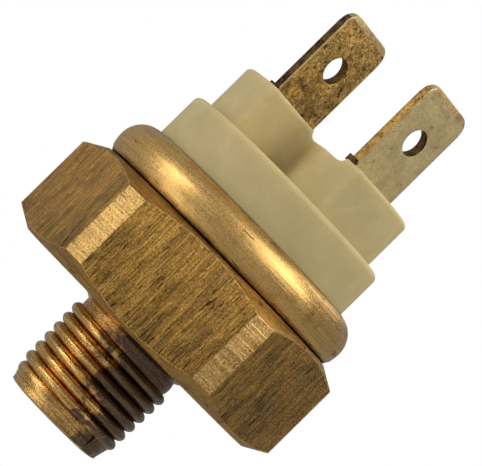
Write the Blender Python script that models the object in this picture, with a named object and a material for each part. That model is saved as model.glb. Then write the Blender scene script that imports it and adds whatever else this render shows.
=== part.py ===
"""Screw-in pressure switch: a brass body that a crimped ring joins to an insulating terminal base.

Pressure in the port lifts a diaphragm. The diaphragm lifts a plate, a plunger and a contact bridge
against a set spring, and the bridge then joins the two blade terminals.

Z runs up the switch's axis and is 0 at the hexagon's underside. X is the blades' normal and Y runs
along their width. Lengths are in metres.
"""

import math

import bmesh
import bpy
from mathutils import Vector

MM = 0.001

# Clearances
SEAT_GAP = 0.25 * MM        # between two pieces that rest on each other
SLIDE_GAP = 0.25 * MM       # around a piece that slides or is pushed into a hole
CLOSED_GAP = 0.05 * MM      # left between the contacts at full stroke
CUT_MARGIN = 1.0 * MM       # how far a cutter or a hidden overlap runs past a face

# Threaded stud
THREAD_DIAMETER = 10.25 * MM
THREAD_TAPER = 1 / 16
THREAD_PITCH = 1.0 * MM
THREAD_DEPTH = 0.5 * MM
STUD_LENGTH = 8.8 * MM
STUD_END_ROUND = 0.9 * MM       # height of the rounding at the stud's end
STUD_END_IN = 1.2 * MM          # and how far it comes in
NECK_LENGTH = 0.4 * MM
NECK_FLARE = 0.35 * MM
RUN_OUT = 0.6                   # turns over which the thread fades at each end
PORT_RADIUS = 1.5 * MM

# Hexagon
HEX_FLATS = 24.0 * MM
HEX_HEIGHT = 8.7 * MM
HEX_TURN = math.radians(7.4)
HEX_CORNER_CUT = 0.5 * MM       # how far each corner is turned down
HEX_CHAMFER_DROP = 1.05 * MM
HEX_CHAMFER_IN = 1.8 * MM

# Crimp ring
RING_WALL = 0.6 * MM
RING_HEIGHT = 3.32 * MM
RING_WAIST = 1.23 * MM          # height of the widest place above the ring's lower edge
RING_BELLY = 0.28 * MM          # how much the lower edge tucks in
RING_TOP_REACH = 1.96 * MM      # how far the upper lip turns in
RING_LIP_REACH = 0.9 * MM       # how far the lower lip turns in

# Body rim and bore
RIM_HEIGHT = 0.7 * MM
RIM_WALL = 1.86 * MM
RIM_PLAY = 0.3 * MM             # between the rim and the ring around it
BORE_RADIUS = 9.0 * MM
CHAMBER_DEPTH = 1.5 * MM

# Seals
CORD_RADIUS = 0.6 * MM
SEAL_EDGE = 0.95 * MM           # bore floor outside the diaphragm seal's groove
SEAL_LAND = 0.75 * MM           # bore floor inside it
BASE_CORD_RADIUS = 0.42 * MM
BASE_SEAL_RISE = 1.4 * MM       # height of the base seal's centre above the base's lower edge

# Diaphragm and the pieces that clamp it
DIAPHRAGM_THICKNESS = 0.25 * MM
DIAPHRAGM_DISH = 0.75 * MM
DIAPHRAGM_SLOPE = 1.45 * MM     # width of the slope between its edge and its crown
CLAMP_WIDTH = 2.55 * MM
CLAMP_THICKNESS = 0.8 * MM
GUIDE_SKIRT_WALL = 1.35 * MM
GUIDE_THICKNESS = 1.0 * MM

# Moving stack
STROKE = 0.6 * MM
PLATE_THICKNESS = 0.8 * MM
PLATE_OVERHANG = 0.7 * MM       # beyond the diaphragm's crown
PLUNGER_RADIUS = 2.0 * MM
PLUNGER_RISE = 0.45 * MM        # plunger shoulder above the guide
TIP_RADIUS = 1.0 * MM
TIP_LENGTH = 1.8 * MM
BRIDGE_THICKNESS = 0.5 * MM
BRIDGE_WIDTH = 4.0 * MM
BRIDGE_END = 1.15 * MM          # bridge length past each contact's axis
SPRING_SEAT_EDGE = 0.3 * MM     # seat and cap beyond the spring's wire
SPRING_SEAT_THICKNESS = 0.4 * MM

# Contacts
CONTACT_RADIUS = 1.0 * MM
CONTACT_HEAD = 0.6 * MM
CONTACT_DOME = 0.15 * MM
SHANK_RADIUS = 0.5 * MM

# Blade terminals
BLADE_WIDTH = 6.3 * MM
BLADE_THICKNESS = 0.8 * MM
BLADE_EXPOSED = 8.8 * MM
BLADE_STAGGER = 0.67 * MM
BLADE_CORNER = 1.15 * MM
BLADE_EDGE_BEVEL = 0.18 * MM
BLADE_HOLE_RADIUS = 1.15 * MM
BLADE_HOLE_DROP = 4.15 * MM
FOOT_WIDTH = 3.6 * MM
FOOT_REACH = 1.15 * MM          # foot length past the contact's axis
CONTACT_INSET = 0.85 * MM       # contact's axis in from the blade's middle plane
CONTACT_WEB = 0.5 * MM          # between a contact and the spring bore

# Terminal base
INSERT_LENGTH = 2.85 * MM       # the stretch inside the body's bore
BASE_LOWER_IN = 2.04 * MM       # lower tier's side in from the ring's widest place
BASE_LOWER_HEIGHT = 4.04 * MM
TIER_STEP = 1.2 * MM
BASE_UPPER_HEIGHT = 4.29 * MM
BASE_WALL = 1.75 * MM
BASE_EDGE_ROUND = 0.32 * MM
LOBE_EDGE_ROUND = 0.3 * MM
LOBE_CORNER_ROUND = 0.45 * MM
LOBE_WALL_X = -0.3 * MM         # face of the left lobe, along the blades
LOBE_WALL_INNER_Y = -1.9 * MM   # where that face meets the waist
LOBE_SHOULDER_X = 3.6 * MM      # where the waist meets the right lobe's front face
LOBE_FRONT_WALL = 1.47 * MM     # right lobe's front face from the blade's slot
WAIST_FILLET = 0.8 * MM
SHOULDER_ROUND = 1.0 * MM
WAIST_GROOVE_WIDTH = 3.2 * MM
WAIST_GROOVE_DEPTH = 0.6 * MM
WAIST_GROOVE_TURN = math.radians(131)
CEILING_GAP = 0.25 * MM         # above the blades' feet

# Set spring and its adjuster
SPRING_RADIUS = 1.7 * MM
SPRING_WIRE_RADIUS = 0.2 * MM
SPRING_TURNS = 6.5
SPRING_CAP_THICKNESS = 0.5 * MM
SPRING_BORE_ROOF = 0.95 * MM    # solid left between the spring bore and the lobes' floor
SET_SCREW_RADIUS = 1.5 * MM
SET_SCREW_SUNK = 0.45 * MM
SCREW_SLOT_WIDTH = 0.6 * MM
SCREW_SLOT_DEPTH = 0.9 * MM

# Facets around a full turn
FINE = 64
ROUND = 40
SMALL = 20

# Heights of the outside, from the hexagon up
RING_BOTTOM = HEX_HEIGHT + SEAT_GAP
RING_TOP = RING_BOTTOM + RING_HEIGHT
RIM_BOTTOM = RING_BOTTOM + RING_WALL + SEAT_GAP
RIM_TOP = RIM_BOTTOM + RIM_HEIGHT
BASE_FLANGE_BOTTOM = RIM_TOP + SEAT_GAP
LOBE_FLOOR = RING_TOP + BASE_LOWER_HEIGHT
BASE_TOP = LOBE_FLOOR + BASE_UPPER_HEIGHT
GROOVE_FLOOR = BASE_TOP - WAIST_GROOVE_DEPTH
BLADE_TIP = BASE_TOP + BLADE_EXPOSED

# Heights in the body's bore, from the base's lower edge down
BASE_BOTTOM = BASE_FLANGE_BOTTOM - INSERT_LENGTH
GUIDE_TOP = BASE_BOTTOM - SEAT_GAP
GUIDE_PLATE = GUIDE_TOP - GUIDE_THICKNESS
PLATE_TOP = GUIDE_PLATE - SEAT_GAP - STROKE
PLATE_SEAT = PLATE_TOP - PLATE_THICKNESS
DIAPHRAGM_SEAT = PLATE_SEAT - SEAT_GAP - DIAPHRAGM_THICKNESS - DIAPHRAGM_DISH
BORE_FLOOR = DIAPHRAGM_SEAT - SEAT_GAP
CLAMP_SEAT = DIAPHRAGM_SEAT + DIAPHRAGM_THICKNESS + SEAT_GAP
GUIDE_SEAT = CLAMP_SEAT + CLAMP_THICKNESS + SEAT_GAP

# Heights in the base's cavity, from the plunger up
PLUNGER_SEAT = PLATE_TOP + SEAT_GAP
PLUNGER_SHOULDER = GUIDE_TOP + PLUNGER_RISE
BRIDGE_SEAT = PLUNGER_SHOULDER + SEAT_GAP
BRIDGE_TOP = BRIDGE_SEAT + BRIDGE_THICKNESS
MOVING_CONTACT_SEAT = BRIDGE_TOP + SEAT_GAP
FIXED_CONTACT_TIP = MOVING_CONTACT_SEAT + CONTACT_HEAD + STROKE + CLOSED_GAP
FOOT_BOTTOM = FIXED_CONTACT_TIP + CONTACT_HEAD + SEAT_GAP
CEILING = FOOT_BOTTOM + BLADE_THICKNESS + CEILING_GAP
SPRING_SEAT_BOTTOM = BRIDGE_TOP + SEAT_GAP
SPRING_BOTTOM = SPRING_SEAT_BOTTOM + SPRING_SEAT_THICKNESS + SEAT_GAP
SPRING_BORE_TOP = LOBE_FLOOR - SPRING_BORE_ROOF
CAP_BOTTOM = SPRING_BORE_TOP - SEAT_GAP - SPRING_CAP_THICKNESS
SPRING_TOP = CAP_BOTTOM - SEAT_GAP

# Radii and places that follow their neighbours
RIM_RADIUS = BORE_RADIUS + RIM_WALL
RING_RADIUS = RIM_RADIUS + RIM_PLAY + RING_WALL
RING_LIP_RADIUS = RIM_RADIUS - RING_LIP_REACH
RIM_NECK_RADIUS = RING_LIP_RADIUS - SLIDE_GAP
BASE_LOWER_RADIUS = RING_RADIUS - BASE_LOWER_IN
BASE_UPPER_RADIUS = BASE_LOWER_RADIUS - TIER_STEP
INSERT_RADIUS = BORE_RADIUS - SLIDE_GAP
CAVITY_RADIUS = INSERT_RADIUS - BASE_WALL
SEAL_RING_RADIUS = BORE_RADIUS - SEAL_EDGE - SLIDE_GAP - CORD_RADIUS
CLAMP_INNER_RADIUS = INSERT_RADIUS - CLAMP_WIDTH
CROWN_RADIUS = CLAMP_INNER_RADIUS - SLIDE_GAP - DIAPHRAGM_SLOPE
GUIDE_HOLE_RADIUS = PLUNGER_RADIUS + SLIDE_GAP
TIP_HOLE_RADIUS = TIP_RADIUS + SLIDE_GAP
SHANK_HOLE_RADIUS = SHANK_RADIUS + SLIDE_GAP
SPRING_SEAT_RADIUS = SPRING_RADIUS + SPRING_WIRE_RADIUS + SPRING_SEAT_EDGE
SPRING_BORE_RADIUS = SPRING_SEAT_RADIUS + SLIDE_GAP
SCREW_BORE_RADIUS = SET_SCREW_RADIUS + SLIDE_GAP
CONTACT_OFFSET = SPRING_BORE_RADIUS + CONTACT_WEB + CONTACT_RADIUS
BLADE_OFFSET = CONTACT_OFFSET + CONTACT_INSET
LOBE_FRONT_Y = BLADE_STAGGER - BLADE_WIDTH / 2 - SLIDE_GAP - LOBE_FRONT_WALL

BRASS = (0.55, 0.37, 0.14)
RING_BRASS = (0.60, 0.42, 0.17)
BLADE_BRASS = (0.50, 0.40, 0.20)
BRONZE = (0.55, 0.30, 0.15)
SILVER = (0.80, 0.79, 0.75)
STEEL = (0.50, 0.51, 0.52)
NYLON = (0.47, 0.37, 0.20)
RUBBER = (0.02, 0.02, 0.02)
AMBER_FILM = (0.42, 0.20, 0.05)
BROWN_RESIN = (0.12, 0.07, 0.04)
RED_RESIN = (0.30, 0.08, 0.03)


def clear_scene():
    """Remove every object, so that a second run starts clean."""
    for thing in list(bpy.data.objects):
        bpy.data.objects.remove(thing, do_unlink=True)


def surface(name, colour, roughness, metallic):
    """One piece's own Principled material."""
    material = bpy.data.materials.new(name)
    material.use_nodes = True
    shader = material.node_tree.nodes["Principled BSDF"]
    shader.inputs["Base Color"].default_value = (*colour, 1.0)
    shader.inputs["Roughness"].default_value = roughness
    shader.inputs["Metallic"].default_value = metallic
    material.diffuse_color = (*colour, 1.0)
    return material


def ring_of_points(radius, height, count):
    """A circle of points about Z."""
    turns = (2 * math.pi * step / count for step in range(count))
    return [Vector((radius * math.cos(a), radius * math.sin(a), height)) for a in turns]


def arc(centre, radii, first, last, steps):
    """Points (r, z) along an elliptic arc, with both its ends; the angles are in degrees."""
    turns = (math.radians(first + (last - first) * step / steps) for step in range(steps + 1))
    return [(centre[0] + radii[0] * math.cos(a), centre[1] + radii[1] * math.sin(a)) for a in turns]


def loft(loops, cyclic=False):
    """A closed mesh through loops that have equal numbers of points, capped unless cyclic."""
    mesh = bmesh.new()
    rows = [[mesh.verts.new(point) for point in loop] for loop in loops]
    pairs = list(zip(rows, rows[1:])) + ([(rows[-1], rows[0])] if cyclic else [])
    for low, high in pairs:
        for here in range(len(low)):
            after = (here + 1) % len(low)
            mesh.faces.new((low[here], low[after], high[after], high[here]))
    if not cyclic:
        mesh.faces.new(rows[0])
        mesh.faces.new(rows[-1])
    bmesh.ops.recalc_face_normals(mesh, faces=mesh.faces)
    return mesh


def turned_solid(profile, count=ROUND):
    """A solid of revolution from (r, z) points, with a flat disc at each end of the list."""
    return loft([ring_of_points(radius, height, count) for radius, height in profile])


def turned_ring(profile, count=ROUND):
    """A solid of revolution with a hole, from a closed outline of (r, z) points."""
    loops = []
    for step in range(count):
        turn = 2 * math.pi * step / count
        loops.append([(r * math.cos(turn), r * math.sin(turn), z) for r, z in profile])
    return loft(loops, cyclic=True)


def prism(outline, bottom, top):
    """An outline of (x, y) points, extruded along Z."""
    return loft([[Vector((x, y, height)) for x, y in outline] for height in (bottom, top)])


def box(centre, size):
    """A rectangular block."""
    x, y = size[0] / 2, size[1] / 2
    outline = [(centre[0] + i * x, centre[1] + j * y) for i, j in ((-1, -1), (1, -1), (1, 1), (-1, 1))]
    return prism(outline, centre[2] - size[2] / 2, centre[2] + size[2] / 2)


def piece(name, mesh, colour, roughness, metallic, height=0.0):
    """An object with its own material, placed at a height on the axis."""
    data = bpy.data.meshes.new(name)
    mesh.to_mesh(data)
    mesh.free()
    data.materials.append(surface(name, colour, roughness, metallic))
    thing = bpy.data.objects.new(name, data)
    thing.location.z = height
    bpy.context.scene.collection.objects.link(thing)
    return thing


def combine(target, mesh, operation, name):
    """Join a mesh to the target, or cut it from the target, with a Boolean modifier.

    The mesh is in the target's own coordinates, and its object is a hidden child of the target.
    """
    data = bpy.data.meshes.new(name)
    mesh.to_mesh(data)
    mesh.free()
    tool = bpy.data.objects.new(name, data)
    bpy.context.scene.collection.objects.link(tool)
    tool.parent = target
    tool.hide_render = True
    tool.display_type = "WIRE"
    modifier = target.modifiers.new(name, "BOOLEAN")
    modifier.solver = "EXACT"
    modifier.operation = operation
    modifier.object = tool


def drill(target, x, y, radius, bottom, top, name):
    """Cut a round hole along Z."""
    hole = prism([(x + p.x, y + p.y) for p in ring_of_points(radius, 0, SMALL)], bottom, top)
    combine(target, hole, "DIFFERENCE", name)


def rounded_outline(corners, steps=5):
    """An outline of (x, y) points from (x, y, radius) corners, each rounded by its radius."""
    outline = []
    for index, (x, y, radius) in enumerate(corners):
        corner = Vector((x, y))
        if radius == 0:
            outline.append(corner)
            continue
        before = Vector(corners[index - 1][:2]) - corner
        after = Vector(corners[(index + 1) % len(corners)][:2]) - corner
        half = before.angle(after) / 2
        middle = corner + (before.normalized() + after.normalized()).normalized() * radius / math.sin(half)
        start = corner + before.normalized() * radius / math.tan(half) - middle
        end = corner + after.normalized() * radius / math.tan(half) - middle
        sweep = start.angle_signed(end)
        for step in range(steps + 1):
            turn = -sweep * step / steps
            outline.append(middle + Vector((
                start.x * math.cos(turn) - start.y * math.sin(turn),
                start.x * math.sin(turn) + start.y * math.cos(turn))))
    return outline


def crest_radius(down):
    """The thread's crest radius at a distance below the hexagon, before the end is rounded."""
    return (THREAD_DIAMETER - down * THREAD_TAPER) / 2


def stud_limit(down):
    """The radius that the rounded end leaves at a distance below the hexagon."""
    share = max(0.0, (down - STUD_LENGTH + STUD_END_ROUND) / STUD_END_ROUND)
    return crest_radius(down) - STUD_END_IN * (1 - math.sqrt(max(0.0, 1 - share ** 2)))


def stud_mesh():
    """The threaded stud, with a helical ridge that fades out at both ends.

    The mesh rows follow the helix. Each turn has one row at the root, one at each edge of the
    crest and one between, and a fan closes the step at each end of the helix.
    """
    shape = ((0.0, 0.0), (0.32, 0.85), (0.5, 1.0), (0.68, 0.85))
    around = ROUND
    length = STUD_LENGTH - 2 * NECK_LENGTH
    turns = max(2, int(length / THREAD_PITCH + 0.01) - 1)
    start = (STUD_LENGTH - (turns + 1) * THREAD_PITCH) / 2
    mesh = bmesh.new()

    def helix_row(turn, part):
        along, rise = shape[part]
        row = []
        for step in range(around):
            swept = turn + step / around
            fade = min(1.0, swept / RUN_OUT, max(0.0, (turns - swept) / RUN_OUT))
            down = start + (swept + along) * THREAD_PITCH
            radius = min(crest_radius(down) - THREAD_DEPTH * (1 - rise * fade), stud_limit(down))
            angle = 2 * math.pi * step / around
            row.append(mesh.verts.new((radius * math.cos(angle), radius * math.sin(angle), -down)))
        return row

    def plain_row(radius, height):
        return [mesh.verts.new(point) for point in ring_of_points(radius, height, around)]

    def band(upper, lower):
        for here in range(around):
            after = (here + 1) % around
            mesh.faces.new((upper[here], upper[after], lower[after], lower[here]))

    parts = len(shape)
    rows = [helix_row(turn, part) for turn in range(turns) for part in range(parts)]
    # The last column of each row meets the first column of the row one turn further on.
    for here, lower in enumerate(rows[1:]):
        for step in range(around - 1):
            mesh.faces.new((rows[here][step], rows[here][step + 1], lower[step + 1], lower[step]))
    for here in range(len(rows) - parts - 1):
        mesh.faces.new((rows[here][-1], rows[here + parts][0], rows[here + parts + 1][0], rows[here + 1][-1]))

    root = crest_radius(start) - THREAD_DEPTH
    top = [plain_row(crest_radius(0.0) + NECK_FLARE, height) for height in (CUT_MARGIN, 0.0)]
    top.append(plain_row(root, -start * 0.9))
    for upper, lower in zip(top, top[1:]):
        band(upper, lower)
    mesh.faces.new(top[0])
    for step in range(around - 1):
        mesh.faces.new((top[-1][step], top[-1][step + 1], rows[0][step + 1], rows[0][step]))
    mesh.faces.new([top[-1][-1], top[-1][0]] + [rows[k][0] for k in range(parts + 1)] + [rows[0][-1]])

    below = start + (turns + 1) * THREAD_PITCH
    foot = []
    for share in (0.1, 0.4, 0.7, 1.0):
        down = below + (STUD_LENGTH - below) * share
        foot.append(plain_row(min(crest_radius(down) - THREAD_DEPTH, stud_limit(down)), -down))
    for upper, lower in zip(foot, foot[1:]):
        band(upper, lower)
    mesh.faces.new(foot[-1])
    last = rows[-1]
    for step in range(around - 1):
        mesh.faces.new((last[step], last[step + 1], foot[0][step + 1], foot[0][step]))
    tail = [rows[k][-1] for k in range(len(rows) - parts - 1, len(rows))]
    mesh.faces.new([foot[0][0], foot[0][-1]] + tail[::-1] + [last[0]])
    bmesh.ops.recalc_face_normals(mesh, faces=mesh.faces)
    return mesh


def hexagon_mesh():
    """The hexagon before its corners are turned down."""
    radius = HEX_FLATS / math.sqrt(3)
    turns = [HEX_TURN + math.radians(30 + 60 * side) for side in range(6)]
    return prism([(radius * math.cos(a), radius * math.sin(a)) for a in turns], 0.0, HEX_HEIGHT)


def hexagon_turning():
    """The turned outline that rounds the hexagon's corners and chamfers both its ends."""
    corner = HEX_FLATS / math.sqrt(3) - HEX_CORNER_CUT
    slope = HEX_CHAMFER_IN / HEX_CHAMFER_DROP
    past = corner - HEX_CHAMFER_IN - slope * CUT_MARGIN
    return turned_solid([
        (past, -CUT_MARGIN), (corner, HEX_CHAMFER_DROP),
        (corner, HEX_HEIGHT - HEX_CHAMFER_DROP), (past, HEX_HEIGHT + CUT_MARGIN)], FINE)


def rim_mesh():
    """The neck and the rim that the crimp ring grips."""
    return turned_solid([
        (RIM_NECK_RADIUS, HEX_HEIGHT - CUT_MARGIN), (RIM_NECK_RADIUS, RIM_BOTTOM),
        (RIM_RADIUS, RIM_BOTTOM), (RIM_RADIUS, RIM_TOP)], FINE)


def bore_mesh():
    """Everything that is bored out of the body, from the port up to the open top."""
    seal_in = SEAL_RING_RADIUS - CORD_RADIUS - SLIDE_GAP
    seal_out = SEAL_RING_RADIUS + CORD_RADIUS + SLIDE_GAP
    seal_floor = BORE_FLOOR - 2 * CORD_RADIUS - SEAT_GAP
    chamber = BORE_FLOOR - CHAMBER_DEPTH
    return turned_solid([
        (PORT_RADIUS, -STUD_LENGTH - CUT_MARGIN), (PORT_RADIUS, chamber), (seal_in - SEAL_LAND, chamber),
        (seal_in - SEAL_LAND, BORE_FLOOR), (seal_in, BORE_FLOOR), (seal_in, seal_floor),
        (seal_out, seal_floor), (seal_out, BORE_FLOOR), (BORE_RADIUS, BORE_FLOOR),
        (BORE_RADIUS, RIM_TOP + CUT_MARGIN)], ROUND)


def build_body():
    """The brass body: stud, hexagon, rim and bore."""
    body = piece("body", hexagon_mesh(), BRASS, 0.32, 1.0)
    combine(body, hexagon_turning(), "INTERSECT", "hexagon_turning")
    combine(body, stud_mesh(), "UNION", "stud")
    combine(body, rim_mesh(), "UNION", "rim")
    combine(body, bore_mesh(), "DIFFERENCE", "bore")


def build_crimp_ring():
    """The rolled brass ring: a belly outside, and a lip turned in at each end."""
    centre = (RING_RADIUS - RING_TOP_REACH, RING_WAIST)
    rise = RING_HEIGHT - RING_WAIST
    belly = (RING_WAIST ** 2 + RING_BELLY ** 2) / (2 * RING_BELLY)
    tuck = math.degrees(math.asin(RING_WAIST / belly))
    lower = arc((RING_RADIUS - belly, RING_WAIST), (belly, belly), -tuck, 0, 3)[:-1]
    upper = arc(centre, (RING_TOP_REACH, rise), 0, 90, 9)
    under = arc(centre, (RING_TOP_REACH - RING_WALL, rise - RING_WALL), 90, 0, 7)
    edge = max(centre[0], BASE_LOWER_RADIUS + SLIDE_GAP)
    outside = lower + [point for point in upper if point[0] > edge]
    inside = [point for point in under if point[0] > edge] + [(RING_RADIUS - RING_WALL, RING_WALL)]
    top_lip = [(edge, RING_HEIGHT), (edge, RING_HEIGHT - RING_WALL)]
    low_lip = [(RING_LIP_RADIUS, RING_WALL), (RING_LIP_RADIUS, 0.0)]
    ring = turned_ring(outside + top_lip + inside + low_lip, FINE)
    piece("crimp_ring", ring, RING_BRASS, 0.25, 1.0, RING_BOTTOM)


def base_outer_profile():
    """The base's turned outline from its lower edge up to the lobes' floor."""
    seal_depth = 2 * BASE_CORD_RADIUS + SEAT_GAP
    seal_low = BASE_BOTTOM + BASE_SEAL_RISE - BASE_CORD_RADIUS - SLIDE_GAP
    seal_high = BASE_BOTTOM + BASE_SEAL_RISE + BASE_CORD_RADIUS + SLIDE_GAP
    reach = RING_TOP_REACH - RING_WALL - SEAT_GAP
    rise = RING_HEIGHT - RING_WAIST - RING_WALL - SEAT_GAP
    waist = (RING_RADIUS - RING_TOP_REACH, RING_BOTTOM + RING_WAIST)
    start = math.degrees(math.asin((BASE_FLANGE_BOTTOM - waist[1]) / rise))
    flange = [p for p in arc(waist, (reach, rise), start, 90, 6) if p[0] > BASE_LOWER_RADIUS]
    flange.append((BASE_LOWER_RADIUS, waist[1] + rise))
    corner = (BASE_LOWER_RADIUS - BASE_EDGE_ROUND, LOBE_FLOOR - BASE_EDGE_ROUND)
    return [
        (INSERT_RADIUS, BASE_BOTTOM), (INSERT_RADIUS, seal_low), (INSERT_RADIUS - seal_depth, seal_low),
        (INSERT_RADIUS - seal_depth, seal_high), (INSERT_RADIUS, seal_high),
        (INSERT_RADIUS, BASE_FLANGE_BOTTOM), *flange,
        *arc(corner, (BASE_EDGE_ROUND, BASE_EDGE_ROUND), 0, 90, 3)]


def lobe_outline():
    """The plan of the two lobes: a disc with two pockets, half a turn apart."""
    radius = BASE_UPPER_RADIUS
    wall_angle = math.acos(LOBE_WALL_X / radius)
    front_angle = math.asin(LOBE_FRONT_Y / radius)
    half = [
        (LOBE_WALL_X, -radius * math.sin(wall_angle), LOBE_CORNER_ROUND),
        (LOBE_WALL_X, LOBE_WALL_INNER_Y, WAIST_FILLET),
        (LOBE_SHOULDER_X, LOBE_FRONT_Y, SHOULDER_ROUND),
        (radius * math.cos(front_angle), LOBE_FRONT_Y, LOBE_CORNER_ROUND)]
    last_angle = math.pi - wall_angle
    steps = FINE // 3
    for step in range(2, steps - 1):
        angle = front_angle + (last_angle - front_angle) * step / steps
        half.append((radius * math.cos(angle), radius * math.sin(angle), 0))
    return rounded_outline(half + [(-x, -y, corner) for x, y, corner in half])


def lobes_mesh():
    """The upper tier, extruded from its plan, with its top edge rounded."""
    mesh = prism(lobe_outline(), LOBE_FLOOR - CUT_MARGIN, BASE_TOP)
    top = [edge for edge in mesh.edges if all(vert.co.z > BASE_TOP - 1e-6 for vert in edge.verts)]
    bmesh.ops.bevel(mesh, geom=top, offset=LOBE_EDGE_ROUND, segments=3, profile=0.5, affect="EDGES")
    return mesh


def groove_mesh():
    """A shallow trough across the waist between the lobes."""
    half = WAIST_GROOVE_WIDTH / 2
    corners = [
        (-half, -WAIST_GROOVE_DEPTH, WAIST_GROOVE_DEPTH), (half, -WAIST_GROOVE_DEPTH, WAIST_GROOVE_DEPTH),
        (half, CUT_MARGIN, 0), (-half, CUT_MARGIN, 0)]
    along = Vector((math.cos(WAIST_GROOVE_TURN), math.sin(WAIST_GROOVE_TURN), 0))
    across = Vector((along.y, -along.x, 0))
    section = [across * point.x + Vector((0, 0, BASE_TOP + point.y)) for point in rounded_outline(corners)]
    ends = (-BASE_UPPER_RADIUS, BASE_UPPER_RADIUS)
    return loft([[point + along * reach for point in section] for reach in ends])


def cavity_mesh():
    """Everything that is bored out of the base along its axis."""
    return turned_solid([
        (CAVITY_RADIUS, BASE_BOTTOM - CUT_MARGIN), (CAVITY_RADIUS, CEILING), (SPRING_BORE_RADIUS, CEILING),
        (SPRING_BORE_RADIUS, SPRING_BORE_TOP), (SCREW_BORE_RADIUS, SPRING_BORE_TOP),
        (SCREW_BORE_RADIUS, BASE_TOP + CUT_MARGIN)], ROUND)


def build_terminal_base():
    """The insulating base: a turned lower tier, two lobes, the cavity and the blades' slots."""
    base = piece("terminal_base", turned_solid(base_outer_profile(), FINE), NYLON, 0.55, 0.0)
    combine(base, lobes_mesh(), "UNION", "lobes")
    combine(base, groove_mesh(), "DIFFERENCE", "waist_groove")
    combine(base, cavity_mesh(), "DIFFERENCE", "cavity")
    slot = (BLADE_THICKNESS + 2 * SLIDE_GAP, BLADE_WIDTH + 2 * SLIDE_GAP, BASE_TOP - CEILING + 2 * CUT_MARGIN)
    for side in (-1, 1):
        centre = (side * BLADE_OFFSET, side * BLADE_STAGGER, (BASE_TOP + CEILING) / 2)
        combine(base, box(centre, slot), "DIFFERENCE", "blade_slot")


def strip_section(middle, lean, width, thickness):
    """One cross-section of a bent strip, with bevelled corners.

    The strip runs in the XZ plane, lean is its direction above X, and its width lies along Y.
    """
    normal = Vector((-math.sin(lean), 0, math.cos(lean)))
    bevel = min(BLADE_EDGE_BEVEL, thickness * 0.4)
    u, v = width / 2, thickness / 2
    corners = (
        (u, v - bevel), (u - bevel, v), (bevel - u, v), (-u, v - bevel),
        (-u, bevel - v), (bevel - u, -v), (u - bevel, -v), (u, bevel - v))
    return [middle + Vector((0, across, 0)) + normal * out for across, out in corners]


def blade_mesh():
    """A blade with its foot turned in under it, for the right side.

    Its own origin is on the blade's middle plane, at the underside of the foot.
    """
    bend = BLADE_THICKNESS
    tip = BLADE_TIP - FOOT_BOTTOM
    sections = []
    foot_end = -CONTACT_INSET - FOOT_REACH
    shoulder = CEILING - FOOT_BOTTOM + BLADE_THICKNESS
    for x in (foot_end, -bend):
        sections.append(strip_section(Vector((x, 0, BLADE_THICKNESS / 2)), 0.0, FOOT_WIDTH, BLADE_THICKNESS))
    for step in range(1, 5):
        lean = math.radians(90 * step / 4)
        middle = Vector((-bend + bend * math.sin(lean), 0, BLADE_THICKNESS / 2 + bend * (1 - math.cos(lean))))
        sections.append(strip_section(middle, lean, FOOT_WIDTH, BLADE_THICKNESS))
    upright = math.radians(90)
    sections.append(strip_section(Vector((0, 0, shoulder)), upright, FOOT_WIDTH, BLADE_THICKNESS))
    shoulder += BLADE_THICKNESS
    sections.append(strip_section(Vector((0, 0, shoulder)), upright, BLADE_WIDTH, BLADE_THICKNESS))
    for step in range(6):
        turn = math.radians(90 * step / 5)
        height = tip - BLADE_CORNER * (1 - math.sin(turn))
        width = BLADE_WIDTH - 2 * BLADE_CORNER * (1 - math.cos(turn))
        thickness = BLADE_THICKNESS - 2 * BLADE_EDGE_BEVEL * (step / 5) ** 2
        sections.append(strip_section(Vector((0, 0, height)), upright, width, thickness))
    return loft(sections)


def build_blade(side_name, side):
    """One blade terminal; the left one is the right one turned by half a turn."""
    blade = piece("blade_terminal_" + side_name, blade_mesh(), BLADE_BRASS, 0.35, 1.0, FOOT_BOTTOM)
    blade.location.x = side * BLADE_OFFSET
    blade.location.y = side * BLADE_STAGGER
    blade.rotation_euler.z = 0.0 if side > 0 else math.pi
    drill(blade, -CONTACT_INSET, -BLADE_STAGGER, SHANK_HOLE_RADIUS, -CUT_MARGIN,
          BLADE_THICKNESS + CUT_MARGIN, "shank_hole")
    eye = ring_of_points(BLADE_HOLE_RADIUS, 0, SMALL)
    eye_height = BLADE_TIP - FOOT_BOTTOM - BLADE_HOLE_DROP
    reach = BLADE_THICKNESS
    loops = [[Vector((x, point.x, eye_height + point.y)) for point in eye] for x in (-reach, reach)]
    combine(blade, loft(loops), "DIFFERENCE", "blade_eye")


def rivet_profile(shank):
    """A contact rivet with its domed face at height 0 and its shank pointing up."""
    return [
        (CONTACT_RADIUS * 0.35, 0.0), (CONTACT_RADIUS * 0.75, CONTACT_DOME * 0.4),
        (CONTACT_RADIUS, CONTACT_DOME), (CONTACT_RADIUS, CONTACT_HEAD),
        (SHANK_RADIUS, CONTACT_HEAD), (SHANK_RADIUS, CONTACT_HEAD + shank)]


def build_contacts(side_name, side):
    """The silver rivets on one side: one in the blade's foot and one in the bridge."""
    rivet = turned_solid(rivet_profile(SEAT_GAP + BLADE_THICKNESS), SMALL)
    fixed = piece("fixed_contact_" + side_name, rivet, SILVER, 0.3, 1.0, FIXED_CONTACT_TIP)
    fixed.location.x = side * CONTACT_OFFSET
    rivet = turned_solid(rivet_profile(2 * SEAT_GAP + BRIDGE_THICKNESS), SMALL)
    seat = MOVING_CONTACT_SEAT + CONTACT_HEAD
    moving = piece("moving_contact_" + side_name, rivet, SILVER, 0.3, 1.0, seat)
    moving.location.x = side * CONTACT_OFFSET
    moving.rotation_euler.x = math.pi


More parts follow.
